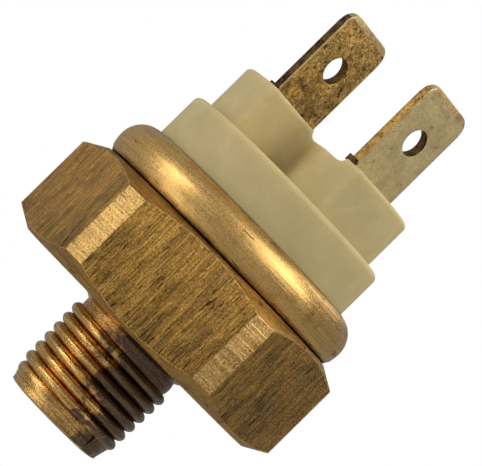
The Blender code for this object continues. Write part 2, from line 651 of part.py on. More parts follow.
def build_diaphragm():
    """A thin dished disc, clamped at its edge."""
    slope_foot = CLAMP_INNER_RADIUS - SLIDE_GAP
    low, high = 0.0, DIAPHRAGM_DISH
    profile = [
        (CROWN_RADIUS, high), (slope_foot, low), (INSERT_RADIUS, low),
        (INSERT_RADIUS, low + DIAPHRAGM_THICKNESS), (slope_foot, low + DIAPHRAGM_THICKNESS),
        (CROWN_RADIUS, high + DIAPHRAGM_THICKNESS)]
    piece("diaphragm", turned_solid(profile), AMBER_FILM, 0.35, 0.0, DIAPHRAGM_SEAT)


def build_clamp_ring():
    """The flat steel ring that presses the diaphragm onto its seal."""
    low, high = CLAMP_INNER_RADIUS, INSERT_RADIUS
    profile = [(low, 0.0), (high, 0.0), (high, CLAMP_THICKNESS), (low, CLAMP_THICKNESS)]
    piece("clamp_ring", turned_ring(profile), STEEL, 0.3, 1.0, CLAMP_SEAT)


def build_plunger_guide():
    """The insulating plate that guides the plunger, on a skirt that stands on the clamp ring."""
    skirt = INSERT_RADIUS - GUIDE_SKIRT_WALL
    rise = GUIDE_PLATE - GUIDE_SEAT
    profile = [
        (skirt, 0.0), (INSERT_RADIUS, 0.0), (INSERT_RADIUS, rise + GUIDE_THICKNESS),
        (GUIDE_HOLE_RADIUS, rise + GUIDE_THICKNESS), (GUIDE_HOLE_RADIUS, rise), (skirt, rise)]
    piece("plunger_guide", turned_ring(profile), BROWN_RESIN, 0.5, 0.0, GUIDE_SEAT)


def torus(name, ring_radius, cord_radius, height):
    """A rubber sealing ring."""
    profile = arc((ring_radius, 0.0), (cord_radius, cord_radius), 0, 315, 7)
    piece(name, turned_ring(profile), RUBBER, 0.6, 0.0, height)


def build_seals():
    """The seal under the diaphragm and the seal around the base."""
    torus("diaphragm_seal", SEAL_RING_RADIUS, CORD_RADIUS, BORE_FLOOR - CORD_RADIUS)
    torus("base_seal", INSERT_RADIUS - BASE_CORD_RADIUS, BASE_CORD_RADIUS, BASE_BOTTOM + BASE_SEAL_RISE)


def build_pressure_plate():
    """The brass plate that spreads the plunger's load over the diaphragm."""
    edge = CROWN_RADIUS + PLATE_OVERHANG
    chamfer = PLATE_THICKNESS / 3
    profile = [
        (CROWN_RADIUS, 0.0), (edge, chamfer), (edge, PLATE_THICKNESS - chamfer / 2),
        (edge - chamfer / 2, PLATE_THICKNESS)]
    piece("pressure_plate", turned_solid(profile), BRASS, 0.3, 1.0, PLATE_SEAT)


def build_plunger():
    """The insulating plunger, with a tip that the bridge and the spring seat sit around."""
    shoulder = PLUNGER_SHOULDER - PLUNGER_SEAT
    bevel = TIP_RADIUS / 4
    profile = [
        (PLUNGER_RADIUS - bevel, 0.0), (PLUNGER_RADIUS, bevel), (PLUNGER_RADIUS, shoulder),
        (TIP_RADIUS, shoulder), (TIP_RADIUS, shoulder + TIP_LENGTH - bevel),
        (TIP_RADIUS - bevel, shoulder + TIP_LENGTH)]
    piece("plunger", turned_solid(profile, SMALL), RED_RESIN, 0.45, 0.0, PLUNGER_SEAT)


def build_contact_bridge():
    """The strip that joins the two blades when it is lifted."""
    end = CONTACT_OFFSET + BRIDGE_END
    sections = [
        strip_section(Vector((x, 0, BRIDGE_THICKNESS / 2)), 0.0, BRIDGE_WIDTH * share, BRIDGE_THICKNESS)
        for x, share in ((-end, 0.5), (-CONTACT_OFFSET, 0.8), (-TIP_HOLE_RADIUS * 1.5, 1.0),
                         (TIP_HOLE_RADIUS * 1.5, 1.0), (CONTACT_OFFSET, 0.8), (end, 0.5))]
    bridge = piece("contact_bridge", loft(sections), BRONZE, 0.3, 1.0, BRIDGE_SEAT)
    for side, radius in ((-1, SHANK_HOLE_RADIUS), (0, TIP_HOLE_RADIUS), (1, SHANK_HOLE_RADIUS)):
        x = side * CONTACT_OFFSET
        drill(bridge, x, 0.0, radius, -CUT_MARGIN, BRIDGE_THICKNESS + CUT_MARGIN, "bridge_hole")


def build_spring_seats():
    """The washer under the set spring and the cap on top of it."""
    seat = [
        (TIP_HOLE_RADIUS, 0.0), (SPRING_SEAT_RADIUS, 0.0), (SPRING_SEAT_RADIUS, SPRING_SEAT_THICKNESS),
        (TIP_HOLE_RADIUS, SPRING_SEAT_THICKNESS)]
    piece("spring_seat", turned_ring(seat, SMALL), STEEL, 0.35, 1.0, SPRING_SEAT_BOTTOM)
    cap = [(SPRING_SEAT_RADIUS, 0.0), (SPRING_SEAT_RADIUS, SPRING_CAP_THICKNESS)]
    piece("spring_cap", turned_solid(cap, SMALL), STEEL, 0.35, 1.0, CAP_BOTTOM)


def build_set_spring():
    """The coil spring that sets the switching pressure, with a closed coil at each end."""
    steps = 16
    count = int(SPRING_TURNS * steps)
    height = SPRING_TOP - SPRING_BOTTOM - 2 * SPRING_WIRE_RADIUS
    dead = 2.3 * SPRING_WIRE_RADIUS
    active = (height - 2 * dead) / (SPRING_TURNS - 2)
    loops = []
    for index in range(count + 1):
        turn = index / steps
        closed = min(turn, 1) + max(turn - SPRING_TURNS + 1, 0)
        rise = dead * closed + active * (turn - closed)
        angle = 2 * math.pi * turn
        outward = Vector((math.cos(angle), math.sin(angle), 0))
        loops.append([
            outward * (SPRING_RADIUS + p.x) + Vector((0, 0, SPRING_WIRE_RADIUS + rise + p.y))
            for p in ring_of_points(SPRING_WIRE_RADIUS, 0, 6)])
    piece("set_spring", loft(loops), STEEL, 0.25, 1.0, SPRING_BOTTOM)


def build_set_screw():
    """The slotted screw that presses on the spring's cap."""
    bottom = CAP_BOTTOM + SPRING_CAP_THICKNESS + SEAT_GAP
    length = GROOVE_FLOOR - SET_SCREW_SUNK - bottom
    bevel = SET_SCREW_RADIUS / 5
    profile = [
        (SET_SCREW_RADIUS - bevel, 0.0), (SET_SCREW_RADIUS, bevel), (SET_SCREW_RADIUS, length - bevel),
        (SET_SCREW_RADIUS - bevel, length)]
    screw = piece("set_screw", turned_solid(profile, SMALL), BRASS, 0.3, 1.0, bottom)
    slot = box((0.0, 0.0, length), (4 * SET_SCREW_RADIUS, SCREW_SLOT_WIDTH, 2 * SCREW_SLOT_DEPTH))
    combine(screw, slot, "DIFFERENCE", "screw_slot")


def main():
    """Build the whole switch."""
    clear_scene()
    build_body()
    build_crimp_ring()
    build_terminal_base()
    for side_name, side in (("left", -1), ("right", 1)):
        build_blade(side_name, side)
        build_contacts(side_name, side)
    build_seals()
    build_diaphragm()
    build_clamp_ring()
    build_plunger_guide()
    build_pressure_plate()
    build_plunger()
    build_contact_bridge()
    build_spring_seats()
    build_set_spring()
    build_set_screw()


main()
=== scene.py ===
import logging
import math
from abc import ABC, abstractmethod
from dataclasses import dataclass
from enum import Enum
from typing import Callable, Sequence

import bmesh
import bpy
from mathutils import Matrix, Vector, noise


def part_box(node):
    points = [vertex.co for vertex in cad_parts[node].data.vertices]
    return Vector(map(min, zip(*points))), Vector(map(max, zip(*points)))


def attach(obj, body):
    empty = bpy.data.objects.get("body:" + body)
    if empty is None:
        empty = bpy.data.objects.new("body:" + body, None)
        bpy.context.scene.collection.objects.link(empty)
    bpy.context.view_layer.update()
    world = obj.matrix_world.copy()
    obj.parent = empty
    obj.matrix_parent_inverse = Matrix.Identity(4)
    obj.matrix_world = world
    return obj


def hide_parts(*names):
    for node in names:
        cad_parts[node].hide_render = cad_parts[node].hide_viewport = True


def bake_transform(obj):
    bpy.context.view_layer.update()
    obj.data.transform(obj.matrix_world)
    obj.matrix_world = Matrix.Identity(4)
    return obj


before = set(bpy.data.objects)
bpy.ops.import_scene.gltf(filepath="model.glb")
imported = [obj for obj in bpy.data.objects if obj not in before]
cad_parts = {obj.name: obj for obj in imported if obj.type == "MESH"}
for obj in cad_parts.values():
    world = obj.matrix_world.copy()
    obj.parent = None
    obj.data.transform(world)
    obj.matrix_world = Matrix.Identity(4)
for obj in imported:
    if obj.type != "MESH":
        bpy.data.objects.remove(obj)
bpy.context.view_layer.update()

MM = 0.001
HAIR = 0.02 * MM            # slack when a face's place is compared with a size
NEAR = 0.1 * MM             # slack where a face only has to lie close to a size
BEVEL_FACETS = 2            # facets across every broken edge
log = logging.getLogger("pressure_switch")

Point2 = tuple[float, float]
Colour = tuple[float, float, float, float]
Socket = bpy.types.NodeSocket
Noises = tuple[Socket, Socket, Socket]      # fine marks, broad marks and patches


class Side(Enum):
    """The two sides of the switch, as signs along X."""

    LEFT = -1
    RIGHT = 1


class Lay(Enum):
    """The way that the marks of making run on a metal surface."""

    DRAWN = "along the bar"
    TURNED = "round the axis"
    STAMPED = "in no direction"


class Operation(Enum):
    """What a Boolean does with its tool."""

    JOIN = "UNION"
    CUT = "DIFFERENCE"
    KEEP = "INTERSECT"


def srgb(text: str) -> Colour:
    """Turn an sRGB hex colour into linear values.

    Args:
        text: Six hex digits after a hash sign.

    Returns:
        Red, green, blue and an alpha of 1, all linear.
    """
    shares = [int(text[start:start + 2], 16) / 255 for start in (1, 3, 5)]
    # The standard's curve: a straight foot, and a power above it.
    linear = [share / 12.92 if share <= 0.04045 else ((share + 0.055) / 1.055) ** 2.4 for share in shares]
    return (linear[0], linear[1], linear[2], 1.0)


# ---------------------------------------------------------------------------------------------
# Mesh making


def circle(radius: float, height: float, count: int) -> list[Vector]:
    """Points round the Z axis.

    Args:
        radius: The circle's radius in metres.
        height: Its height.
        count: The number of points.

    Returns:
        The points, anticlockwise from +X.
    """
    turns = (2 * math.pi * step / count for step in range(count))
    return [Vector((radius * math.cos(turn), radius * math.sin(turn), height)) for turn in turns]


def arc(centre: Point2, radii: Point2, first: float, last: float, steps: int) -> list[Point2]:
    """Points (r, z) along an elliptic arc.

    Args:
        centre: The ellipse's centre.
        radii: Its two half axes.
        first: The first angle in degrees.
        last: The last angle in degrees.
        steps: The number of stretches.

    Returns:
        The points, both ends included.
    """
    turns = [math.radians(first + (last - first) * step / steps) for step in range(steps + 1)]
    return [(centre[0] + radii[0] * math.cos(turn), centre[1] + radii[1] * math.sin(turn)) for turn in turns]


def loft(loops: Sequence[Sequence[Vector]], cyclic: bool = False) -> bmesh.types.BMesh:
    """Skin loops that have equal numbers of points.

    Args:
        loops: The loops in order.
        cyclic: True joins the last loop to the first, and False caps both.

    Returns:
        A closed mesh with its faces pointing out.
    """
    mesh = bmesh.new()
    rows = [[mesh.verts.new(point) for point in loop] for loop in loops]
    pairs = list(zip(rows, rows[1:])) + ([(rows[-1], rows[0])] if cyclic else [])
    for low, high in pairs:
        for here in range(len(low)):
            after = (here + 1) % len(low)
            mesh.faces.new((low[here], low[after], high[after], high[here]))
    if not cyclic:
        mesh.faces.new(rows[0])
        mesh.faces.new(rows[-1])
    bmesh.ops.recalc_face_normals(mesh, faces=mesh.faces)
    return mesh


def turned_solid(profile: Sequence[Point2], count: int) -> bmesh.types.BMesh:
    """Turn (r, z) points into a solid with a flat disc at each end."""
    return loft([circle(radius, height, count) for radius, height in profile])


def turned_ring(profile: Sequence[Point2], count: int) -> bmesh.types.BMesh:
    """Turn a closed outline into a ring.

    Args:
        profile: The outline's (r, z) points.
        count: The number of facets round the axis.

    Returns:
        The ring as a closed mesh.
    """
    loops = []
    for step in range(count):
        turn = 2 * math.pi * step / count
        loops.append([Vector((r * math.cos(turn), r * math.sin(turn), z)) for r, z in profile])
    return loft(loops, cyclic=True)


def prism(outline: Sequence[Point2], bottom: float, top: float) -> bmesh.types.BMesh:
    """Extrude an outline of (x, y) points along Z."""
    return loft([[Vector((x, y, height)) for x, y in outline] for height in (bottom, top)])


def block(low: Vector, high: Vector) -> bmesh.types.BMesh:
    """Make a rectangular block between two corners."""
    return prism([(low.x, low.y), (high.x, low.y), (high.x, high.y), (low.x, high.y)], low.z, high.z)


def rounded_outline(corners: Sequence[tuple[float, float, float]], steps: int) -> list[Point2]:
    """Round the corners of an outline.

    Args:
        corners: Each corner's x, y and radius; 0 leaves it sharp.
        steps: The number of stretches in each rounding.

    Returns:
        The outline's points.
    """
    outline: list[Point2] = []
    for index, (x, y, radius) in enumerate(corners):
        corner = Vector((x, y))
        if radius == 0:
            outline.append((x, y))
            continue
        before = (Vector(corners[index - 1][:2]) - corner).normalized()
        after = (Vector(corners[(index + 1) % len(corners)][:2]) - corner).normalized()
        half = before.angle(after) / 2
        middle = corner + (before + after).normalized() * radius / math.sin(half)
        start = corner + before * radius / math.tan(half) - middle
        end = corner + after * radius / math.tan(half) - middle
        sweep = -start.angle_signed(end)
        for step in range(steps + 1):
            turned = Matrix.Rotation(sweep * step / steps, 2) @ start
            outline.append((middle.x + turned.x, middle.y + turned.y))
    return outline


class Workpiece:
    """One piece while it is made: solids are joined to it and cut from it, and its edges are broken."""

    def __init__(self, name: str, mesh: bmesh.types.BMesh) -> None:
        """Start from a closed mesh.

        Args:
            name: The finished piece's name.
            mesh: The first solid, which is used up.
        """
        self.thing = self._object(name, mesh)

    @staticmethod
    def _object(name: str, mesh: bmesh.types.BMesh) -> bpy.types.Object:
        """Put a mesh into an object of its own.

        Args:
            name: The object's name.
            mesh: The mesh, which is used up.

        Returns:
            The object.
        """
        data = bpy.data.meshes.new(name)
        mesh.to_mesh(data)
        mesh.free()
        thing = bpy.data.objects.new(name, data)
        bpy.context.scene.collection.objects.link(thing)
        return thing

    def _apply(self) -> None:
        """Keep the mesh as its modifiers leave it."""
        bpy.context.view_layer.update()
        graph = bpy.context.evaluated_depsgraph_get()
        done = bpy.data.meshes.new_from_object(self.thing.evaluated_get(graph))
        self.thing.modifiers.clear()
        old = self.thing.data
        self.thing.data = done
        bpy.data.meshes.remove(old)

    def combine(self, operation: Operation, mesh: bmesh.types.BMesh) -> "Workpiece":
        """Join, cut or intersect with another solid.

        Args:
            operation: What is done.
            mesh: The other solid, which is used up.

        Returns:
            This workpiece.
        """
        tool = self._object("tool", mesh)
        modifier = self.thing.modifiers.new("combine", "BOOLEAN")
        modifier.solver = "EXACT"
        modifier.operation = operation.value
        modifier.object = tool
        self._apply()
        data = tool.data
        bpy.data.objects.remove(tool)
        bpy.data.meshes.remove(data)
        return self

    def soften(self, width: float, angle: float) -> "Workpiece":
        """Break every edge that is sharper than an angle.

        Args:
            width: The bevel's width in metres.
            angle: The angle in degrees.

        Returns:
            This workpiece.
        """
        modifier = self.thing.modifiers.new("soften", "BEVEL")
        modifier.width = width
        modifier.segments = BEVEL_FACETS
        modifier.limit_method = "ANGLE"
        modifier.angle_limit = math.radians(angle)
        modifier.use_clamp_overlap = True
        self._apply()
        return self

    def place(self, matrix: Matrix) -> "Workpiece":
        """Move the mesh itself, so that the object stays at the origin."""
        self.thing.data.transform(matrix)
        return self

    def roughen(self, reach: float, grain: float, seed: float) -> "Workpiece":
        """Move the surface in and out a little, as forming leaves it.

        Args:
            reach: The largest move in metres.
            grain: The size of the waves in metres.
            seed: Where in the noise the piece lies.

        Returns:
            This workpiece.
        """
        mesh = self.thing.data
        shift = Vector((seed, seed, seed))
        moves = [vertex.normal * noise.noise(vertex.co / grain + shift) * reach for vertex in mesh.vertices]
        for vertex, move in zip(mesh.vertices, moves):
            vertex.co += move
        return self

    def dress(self, finishes: Sequence["Finish"],
              choose: Callable[[Vector, Vector], "Finish"] | None = None,
              crease: float = 32.0) -> bpy.types.Object:
        """Shade the piece smooth and give each face its finish.

        Args:
            finishes: The finishes on the piece.
            choose: Takes a face's centre and normal, and returns its finish. Without it the first holds.
            crease: The angle in degrees above which an edge stays sharp.

        Returns:
            The finished object.
        """
        mesh = self.thing.data
        mesh.materials.clear()
        for finish in finishes:
            mesh.materials.append(finish.material())
        slots = {finish.name: slot for slot, finish in enumerate(finishes)}
        for face in mesh.polygons:
            finish = choose(face.center, face.normal) if choose else finishes[0]
            face.material_index = slots[finish.name]
        mesh.shade_smooth()
        mesh.set_sharp_from_angle(angle=math.radians(crease))
        return self.thing


def settle(piece: bpy.types.Object, body: str, *nodes: str) -> bpy.types.Object:
    """Let a piece ride on its body in place of its design nodes, and report it.

    Args:
        piece: The finished object.
        body: The body that it moves with.
        nodes: The nodes that it stands for, which are hidden.

    Returns:
        The same object.
    """
    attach(piece, body)
    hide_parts(*nodes)
    log.info("%s rides on %s, %d faces", piece.name, body, len(piece.data.polygons))
    return piece


# ---------------------------------------------------------------------------------------------
# Finishes


class Graph:
    """The node tree of one material or world."""

    def __init__(self, tree: bpy.types.NodeTree) -> None:
        """Take over a tree and empty it."""
        self.tree = tree
        tree.nodes.clear()

    def add(self, kind: str, inputs: dict | None = None, output: str | int = 0, **settings: object) -> Socket:
        """Add a node with its settings and links.

        Args:
            kind: The node's type, without the ShaderNode prefix.
            inputs: Input names or numbers, each with the socket or the value that it takes.
            output: The output wanted.
            settings: The node's own properties.

        Returns:
            The wanted output, or the node's first input where it has no output.
        """
        node = self.tree.nodes.new("ShaderNode" + kind)
        for key, value in settings.items():
            setattr(node, key, value)
        for key, value in (inputs or {}).items():
            if isinstance(value, bpy.types.NodeSocket):
                self.tree.links.new(value, node.inputs[key])
            else:
                node.inputs[key].default_value = value
        return node.outputs[output] if node.outputs else node.inputs[0]


NOISE_SPREAD = {1: 0.3, 2: 0.7}     # a map range's inputs for the values that a noise mostly takes
COLOUR_MIX = {"output": 2, "data_type": "RGBA"}     # a mix node's settings when it mixes colours


def from_axis(graph: Graph, in_mm: Socket) -> tuple[Socket, Socket, Socket]:
    """Measure places from the switch's axis.

    Args:
        graph: The material's tree.
        in_mm: Places on the piece, in millimetres.

    Returns:
        The places at height 0, their distance from the axis and their height.
    """
    parts = graph.add("SeparateXYZ", {0: in_mm}).node
    flat = graph.add("CombineXYZ", {0: parts.outputs[0], 1: parts.outputs[1]})
    radius = graph.add("VectorMath", {0: flat}, output="Value", operation="LENGTH")
    return flat, radius, parts.outputs[2]


@dataclass(frozen=True)
class Finish(ABC):
    """What a piece is made of and how its surface was made."""

    name: str

    def material(self) -> bpy.types.Material:
        """Make the material once, and give the same one after that.

        Returns:
            The material.
        """
        found = bpy.data.materials.get(self.name)
        if found:
            return found
        made = bpy.data.materials.new(self.name)
        made.use_nodes = True
        graph = Graph(made.node_tree)
        place = graph.add("TexCoord", output="Object")
        in_mm = graph.add("VectorMath", {0: place, 3: 1 / MM}, operation="SCALE")
        shader = self.shader(graph, in_mm)
        graph.add("OutputMaterial", {"Surface": shader})
        return made

    @abstractmethod
    def shader(self, graph: Graph, in_mm: Socket) -> Socket:
        """Build the finish.

        Args:
            graph: The material's tree.
            in_mm: Places on the piece, in millimetres.

        Returns:
            The shader's output.
        """


TURNED_RADIUS = 10.0        # mm, the radius at which a turned mark has its true length


def lay_places(graph: Graph, in_mm: Socket, lay: Lay, stretch: float) -> Socket:
    """Places that a noise can be read at, drawn out along the marks of making.

    Args:
        graph: The material's tree.
        in_mm: Places on the piece, in millimetres.
        lay: The way that the marks run.
        stretch: How many times longer than wide a mark is.

    Returns:
        The drawn out places, still in millimetres across the marks.
    """
    if lay is Lay.STAMPED:
        return in_mm
    if lay is Lay.DRAWN:
        return graph.add("VectorMath", {0: in_mm, 1: (1.0, 1.0, 1 / stretch)}, operation="MULTIPLY")
    flat, radius, height = from_axis(graph, in_mm)
    around = graph.add("VectorMath", {0: flat}, operation="NORMALIZE")
    around = graph.add("VectorMath", {0: around, 3: TURNED_RADIUS / stretch}, operation="SCALE")
    across = graph.add("CombineXYZ", {0: radius, 2: height})
    return graph.add("VectorMath", {0: around, 1: across}, operation="ADD")


@dataclass(frozen=True)
class Brass(Finish):
    """Leaded brass, machined, drawn, rolled or stamped, and a little tarnished.

    It gives the eye a warm yellow metal whose glints break up along its marks, with olive and brown
    tarnish between them and brighter metal where it is rubbed.
    """

    colour: str = "#D9B060"
    tarnish: str = "#8E7038"
    stain: str = "#3A2A18"
    lay: Lay = Lay.STAMPED
    mark: float = 0.25          # width of a mark in mm
    stretch: float = 30.0       # length of a mark over its width
    mark_depth: float = 0.012   # depth of a mark in mm
    contrast: float = 0.3       # how far the marks lighten and darken the metal
    roughness: float = 0.34
    stained: float = 0.65       # roughness inside a dark nick
    tarnished: float = 0.5      # share of the surface that is tarnished
    nicked: float = 0.5         # how many dark nicks there are
    patch: float = 3.0          # size of a tarnished patch in mm
    grain: float = 0.13         # size of the pits in mm, drawn coarser than the real 0.02
    pitting: float = 0.2        # how far the pits darken the metal
    oxide: float = 0.0          # share of the surface under a matt film

    def shader(self, graph: Graph, in_mm: Socket) -> Socket:
        """Build the brass: tarnish in patches and streaks under the marks."""
        noises = self.marks(graph, in_mm)
        return self.worn(graph, in_mm, self.tarnished_body(graph, noises), noises)

    def marks(self, graph: Graph, in_mm: Socket) -> Noises:
        """Make the noises that the marks and the tarnish follow.

        Args:
            graph: The material's tree.
            in_mm: Places on the piece, in millimetres.

        Returns:
            The fine marks, the broad marks (four times as wide) and the patches.
        """
        marks_at = lay_places(graph, in_mm, self.lay, self.stretch)
        marks = graph.add("TexNoise", {"Vector": marks_at, "Scale": 1 / self.mark, "Detail": 6.0,
                                       "Roughness": 0.72})
        broad = graph.add("TexNoise", {"Vector": marks_at, "Scale": 1 / (4 * self.mark), "Detail": 3.0,
                                       "Roughness": 0.6})
        patches = graph.add("TexNoise", {"Vector": in_mm, "Scale": 1 / self.patch, "Detail": 5.0,
                                         "Roughness": 0.65, "Distortion": 0.4})
        return marks, broad, patches

    def tarnished_body(self, graph: Graph, noises: Noises) -> Socket:
        """Lay the tarnish over the metal's colour.

        Args:
            graph: The material's tree.
            noises: The fine marks, the broad marks and the patches.

        Returns:
            The colour so far.
        """
        _, broad, patches = noises
        both = graph.add("Math", {0: patches, 1: broad}, operation="ADD")
        # The two noises add up to about 1, so more tarnish means a lower level at which it starts.
        level = 1.13 - 0.3 * self.tarnished
        soft_edge = 0.18
        tarnish = graph.add("MapRange", {"Value": both, 1: level, 2: level + soft_edge, 3: 0.0, 4: 0.9})
        return graph.add("Mix", {"Factor": tarnish, 6: srgb(self.colour), 7: srgb(self.tarnish)},
                         **COLOUR_MIX)

    def nicks(self, graph: Graph, in_mm: Socket, patches: Socket) -> Socket:
        """Scatter dark nicks along the marks, closer together where the metal is tarnished.

        Args:
            graph: The material's tree.
            in_mm: Places on the piece, in millimetres.
            patches: The noise of the tarnished patches.

        Returns:
            How deep in a nick a place is, from 0 outside.
        """
        shorter, narrower = 0.45, 0.85      # a nick's stretch and its noise's scale, over a mark's
        nicks_at = lay_places(graph, in_mm, self.lay, shorter * self.stretch)
        nicks = graph.add("TexNoise", {"Vector": nicks_at, "Scale": narrower / self.mark, "Detail": 4.0,
                                       "Roughness": 0.6})
        # A tarnished patch lifts the noise a little, so that more of it passes the level.
        crowd = graph.add("MapRange", {"Value": patches, 1: 0.4, 2: 0.65, 3: -0.06, 4: 0.05})
        nicks = graph.add("Math", {0: nicks, 1: crowd}, operation="ADD")
        level = 0.72 - 0.16 * self.nicked
        soft_edge = 0.05
        return graph.add("MapRange", {"Value": nicks, 1: level, 2: level + soft_edge, 3: 0.0,
                                      4: min(0.85, 2 * self.nicked)})

    def worn(self, graph: Graph, in_mm: Socket, body: Socket, noises: Noises) -> Socket:
        """Add the streaks, pits, nicks, roughness and bump to the tarnished colour.

        Args:
            graph: The material's tree.
            in_mm: Places on the piece, in millimetres.
            body: The colour so far.
            noises: The fine marks, the broad marks and the patches.

        Returns:
            The shader's output.
        """
        marks, broad, patches = noises
        grain = graph.add("TexNoise", {"Vector": in_mm, "Scale": 1 / self.grain, "Detail": 2.0,
                                       "Roughness": 0.6})
        streak = graph.add("MapRange", {"Value": marks, 1: 0.32, 2: 0.68, 3: 1 - self.contrast,
                                        4: 1 + self.contrast})
        pitted = graph.add("MapRange", {"Value": grain, 1: 0.3, 2: 0.62, 3: 1 - 2 * self.pitting,
                                        4: 1 + self.pitting})
        tone = graph.add("Math", {0: streak, 1: pitted}, operation="MULTIPLY")
        streaked = graph.add("VectorMath", {0: body, 3: tone}, operation="SCALE")
        nicks = self.nicks(graph, in_mm, patches)
        colour = graph.add("Mix", {"Factor": nicks, 6: streaked, 7: srgb(self.stain)}, **COLOUR_MIX)
        rough = graph.add("MapRange", {"Value": grain, **NOISE_SPREAD, 3: self.roughness - 0.08,
                                       4: self.roughness + 0.12})
        rough = graph.add("MapRange", {"Value": nicks, 1: 0.0, 2: 1.0, 3: rough, 4: self.stained})
        # The relief: marks and broad marks in full, half of the pits, and nicks sunk into it.
        height = graph.add("Math", {0: marks, 1: broad}, operation="ADD")
        height = graph.add("Math", {0: grain, 1: 0.5, 2: height}, operation="MULTIPLY_ADD")
        height = graph.add("Math", {0: nicks, 1: -0.35, 2: height}, operation="MULTIPLY_ADD")
        bump = graph.add("Bump", {"Height": height, "Distance": self.mark_depth * MM, "Strength": 1.0})
        return graph.add("BsdfPrincipled", {"Base Color": colour, "Metallic": 1.0 - self.oxide,
                                            "Roughness": rough, "Normal": bump})


@dataclass(frozen=True)
class RolledBrass(Brass):
    """Brass tube rolled over: hoop lines, olive tarnish at its inner lip and painted shade in the lower
    corner.

    It gives the eye a broad soft glint along the bead between an olive edge and a seam darkened by painted
    shade.
    """

    olive: str = "#8F8450"
    lip_radius: float = 10.6    # mm, where the olive starts
    lip_fade: float = 0.6       # mm, over which it comes in
    lip_ragged: float = 0.5     # mm, how far its edge wanders
    shade_height: float = 9.15   # mm, below which shade is painted onto the ring's foot
    shade_fade: float = 0.4      # mm
    shade_ragged: float = 0.15   # mm

    def shader(self, graph: Graph, in_mm: Socket) -> Socket:
        """Build the brass with its olive lip and the painted shade at its seam.

        Args:
            graph: The material's tree.
            in_mm: Places on the piece, in millimetres.

        Returns:
            The shader's output.
        """
        noises = self.marks(graph, in_mm)
        body = self.tarnished_body(graph, noises)
        _, radius, height = from_axis(graph, in_mm)
        # The second pass paints shade, in the stain's colour, on the ring's foot where it meets the hexagon.
        for place, start, fade, ragged, most, colour in (
                (radius, self.lip_radius, self.lip_fade, self.lip_ragged, 0.8, self.olive),
                (height, self.shade_height, self.shade_fade, self.shade_ragged, 0.9, self.stain)):
            wander = graph.add("MapRange", {"Value": noises[2], **NOISE_SPREAD, 3: -ragged, 4: ragged})
            place = graph.add("Math", {0: place, 1: wander}, operation="ADD")
            share = graph.add("MapRange", {"Value": place, 1: start, 2: start - fade, 3: 0.0, 4: most})
            body = graph.add("Mix", {"Factor": share, 6: body, 7: srgb(colour)}, **COLOUR_MIX)
        return self.worn(graph, in_mm, body, noises)


@dataclass(frozen=True)
class ThreadBrass(Brass):
    """Cut brass thread: bright flanks, roots painted orange as shade, and a dark stain on one side.

    It gives the eye a row of gold glints with painted orange shade between them, that end in a brown black
    patch.
    """

    # The colour painted into the roots as shade and bounce light.
    root: str = "#B9824C"
    crest_radius: float = 5.125 # mm, at the hexagon
    taper: float = 1 / 32       # what the radius loses per mm
    root_shade_depths: Point2 = (0.15, 0.5)       # mm below the crest, where the painted root shade starts and is full
    plain_end: Point2 = (-7.9, -6.9)        # mm, the heights over which the painted root shade comes in
    plain_neck: Point2 = (-0.3, -1.0)       # mm, the heights over which it comes in from the hexagon
    stain_turn: float = 24.0                # degrees round the axis, where the stain is centred
    stain_heights: Point2 = (-7.6, -1.6)    # mm, its lower and upper end
    stain_shift: Point2 = (-1.9, 0.7)       # mm, how far its edge lies out at each of them
    stain_edge: Point2 = (0.5, 1.7)         # mm beyond the axis, where it starts and is full
    stain_ragged: float = 2.2               # mm, how far its edge wanders

    def shader(self, graph: Graph, in_mm: Socket) -> Socket:
        """Build the brass with painted orange shade in the roots and the dark patch.

        Args:
            graph: The material's tree.
            in_mm: Places on the piece, in millimetres.

        Returns:
            The shader's output.
        """
        noises = self.marks(graph, in_mm)
        patches = noises[2]
        flat, radius, height = from_axis(graph, in_mm)
        # The roots are painted darker and more orange as shade and bounce light, varied by the patches; the
        # painting fades out at the end and at the neck.
        tapered = graph.add("Math", {0: height, 1: -self.taper, 2: radius}, operation="MULTIPLY_ADD")
        start, full = (self.crest_radius - depth for depth in self.root_shade_depths)
        deep = graph.add("MapRange", {"Value": tapered, 1: start, 2: full, 3: 0.0, 4: 0.6})
        orange = graph.add("Math", {0: deep, 1: patches}, operation="ADD")
        orange = graph.add("MapRange", {"Value": orange, 1: 0.5, 2: 1.05, 3: 0.0, 4: 1.0})
        for (bare, covered), least in ((self.plain_end, 0.15), (self.plain_neck, 0.1)):
            share = graph.add("MapRange", {"Value": height, 1: bare, 2: covered, 3: least, 4: 1.0})
            orange = graph.add("Math", {0: orange, 1: share}, operation="MULTIPLY")
        body = graph.add("Mix", {"Factor": orange, 6: srgb(self.colour), 7: srgb(self.root)}, **COLOUR_MIX)
        turn = math.radians(self.stain_turn)
        towards = (math.cos(turn), math.sin(turn), 0.0)
        sideways = graph.add("VectorMath", {0: flat, 1: towards}, output="Value", operation="DOT_PRODUCT")
        low, high = self.stain_heights
        shift = graph.add("MapRange", {"Value": height, 1: low, 2: high, 3: self.stain_shift[0],
                                       4: self.stain_shift[1]})
        reach = graph.add("Math", {0: sideways, 1: shift}, operation="ADD")
        wander = graph.add("MapRange", {"Value": patches, **NOISE_SPREAD, 3: -self.stain_ragged,
                                        4: self.stain_ragged})
        reach = graph.add("Math", {0: reach, 1: wander}, operation="ADD")
        start, full = self.stain_edge
        stain = graph.add("MapRange", {"Value": reach, 1: start, 2: full, 3: 0.0, 4: 0.94})
        body = graph.add("Mix", {"Factor": stain, 6: body, 7: srgb(self.stain)}, **COLOUR_MIX)
        return self.worn(graph, in_mm, body, noises)


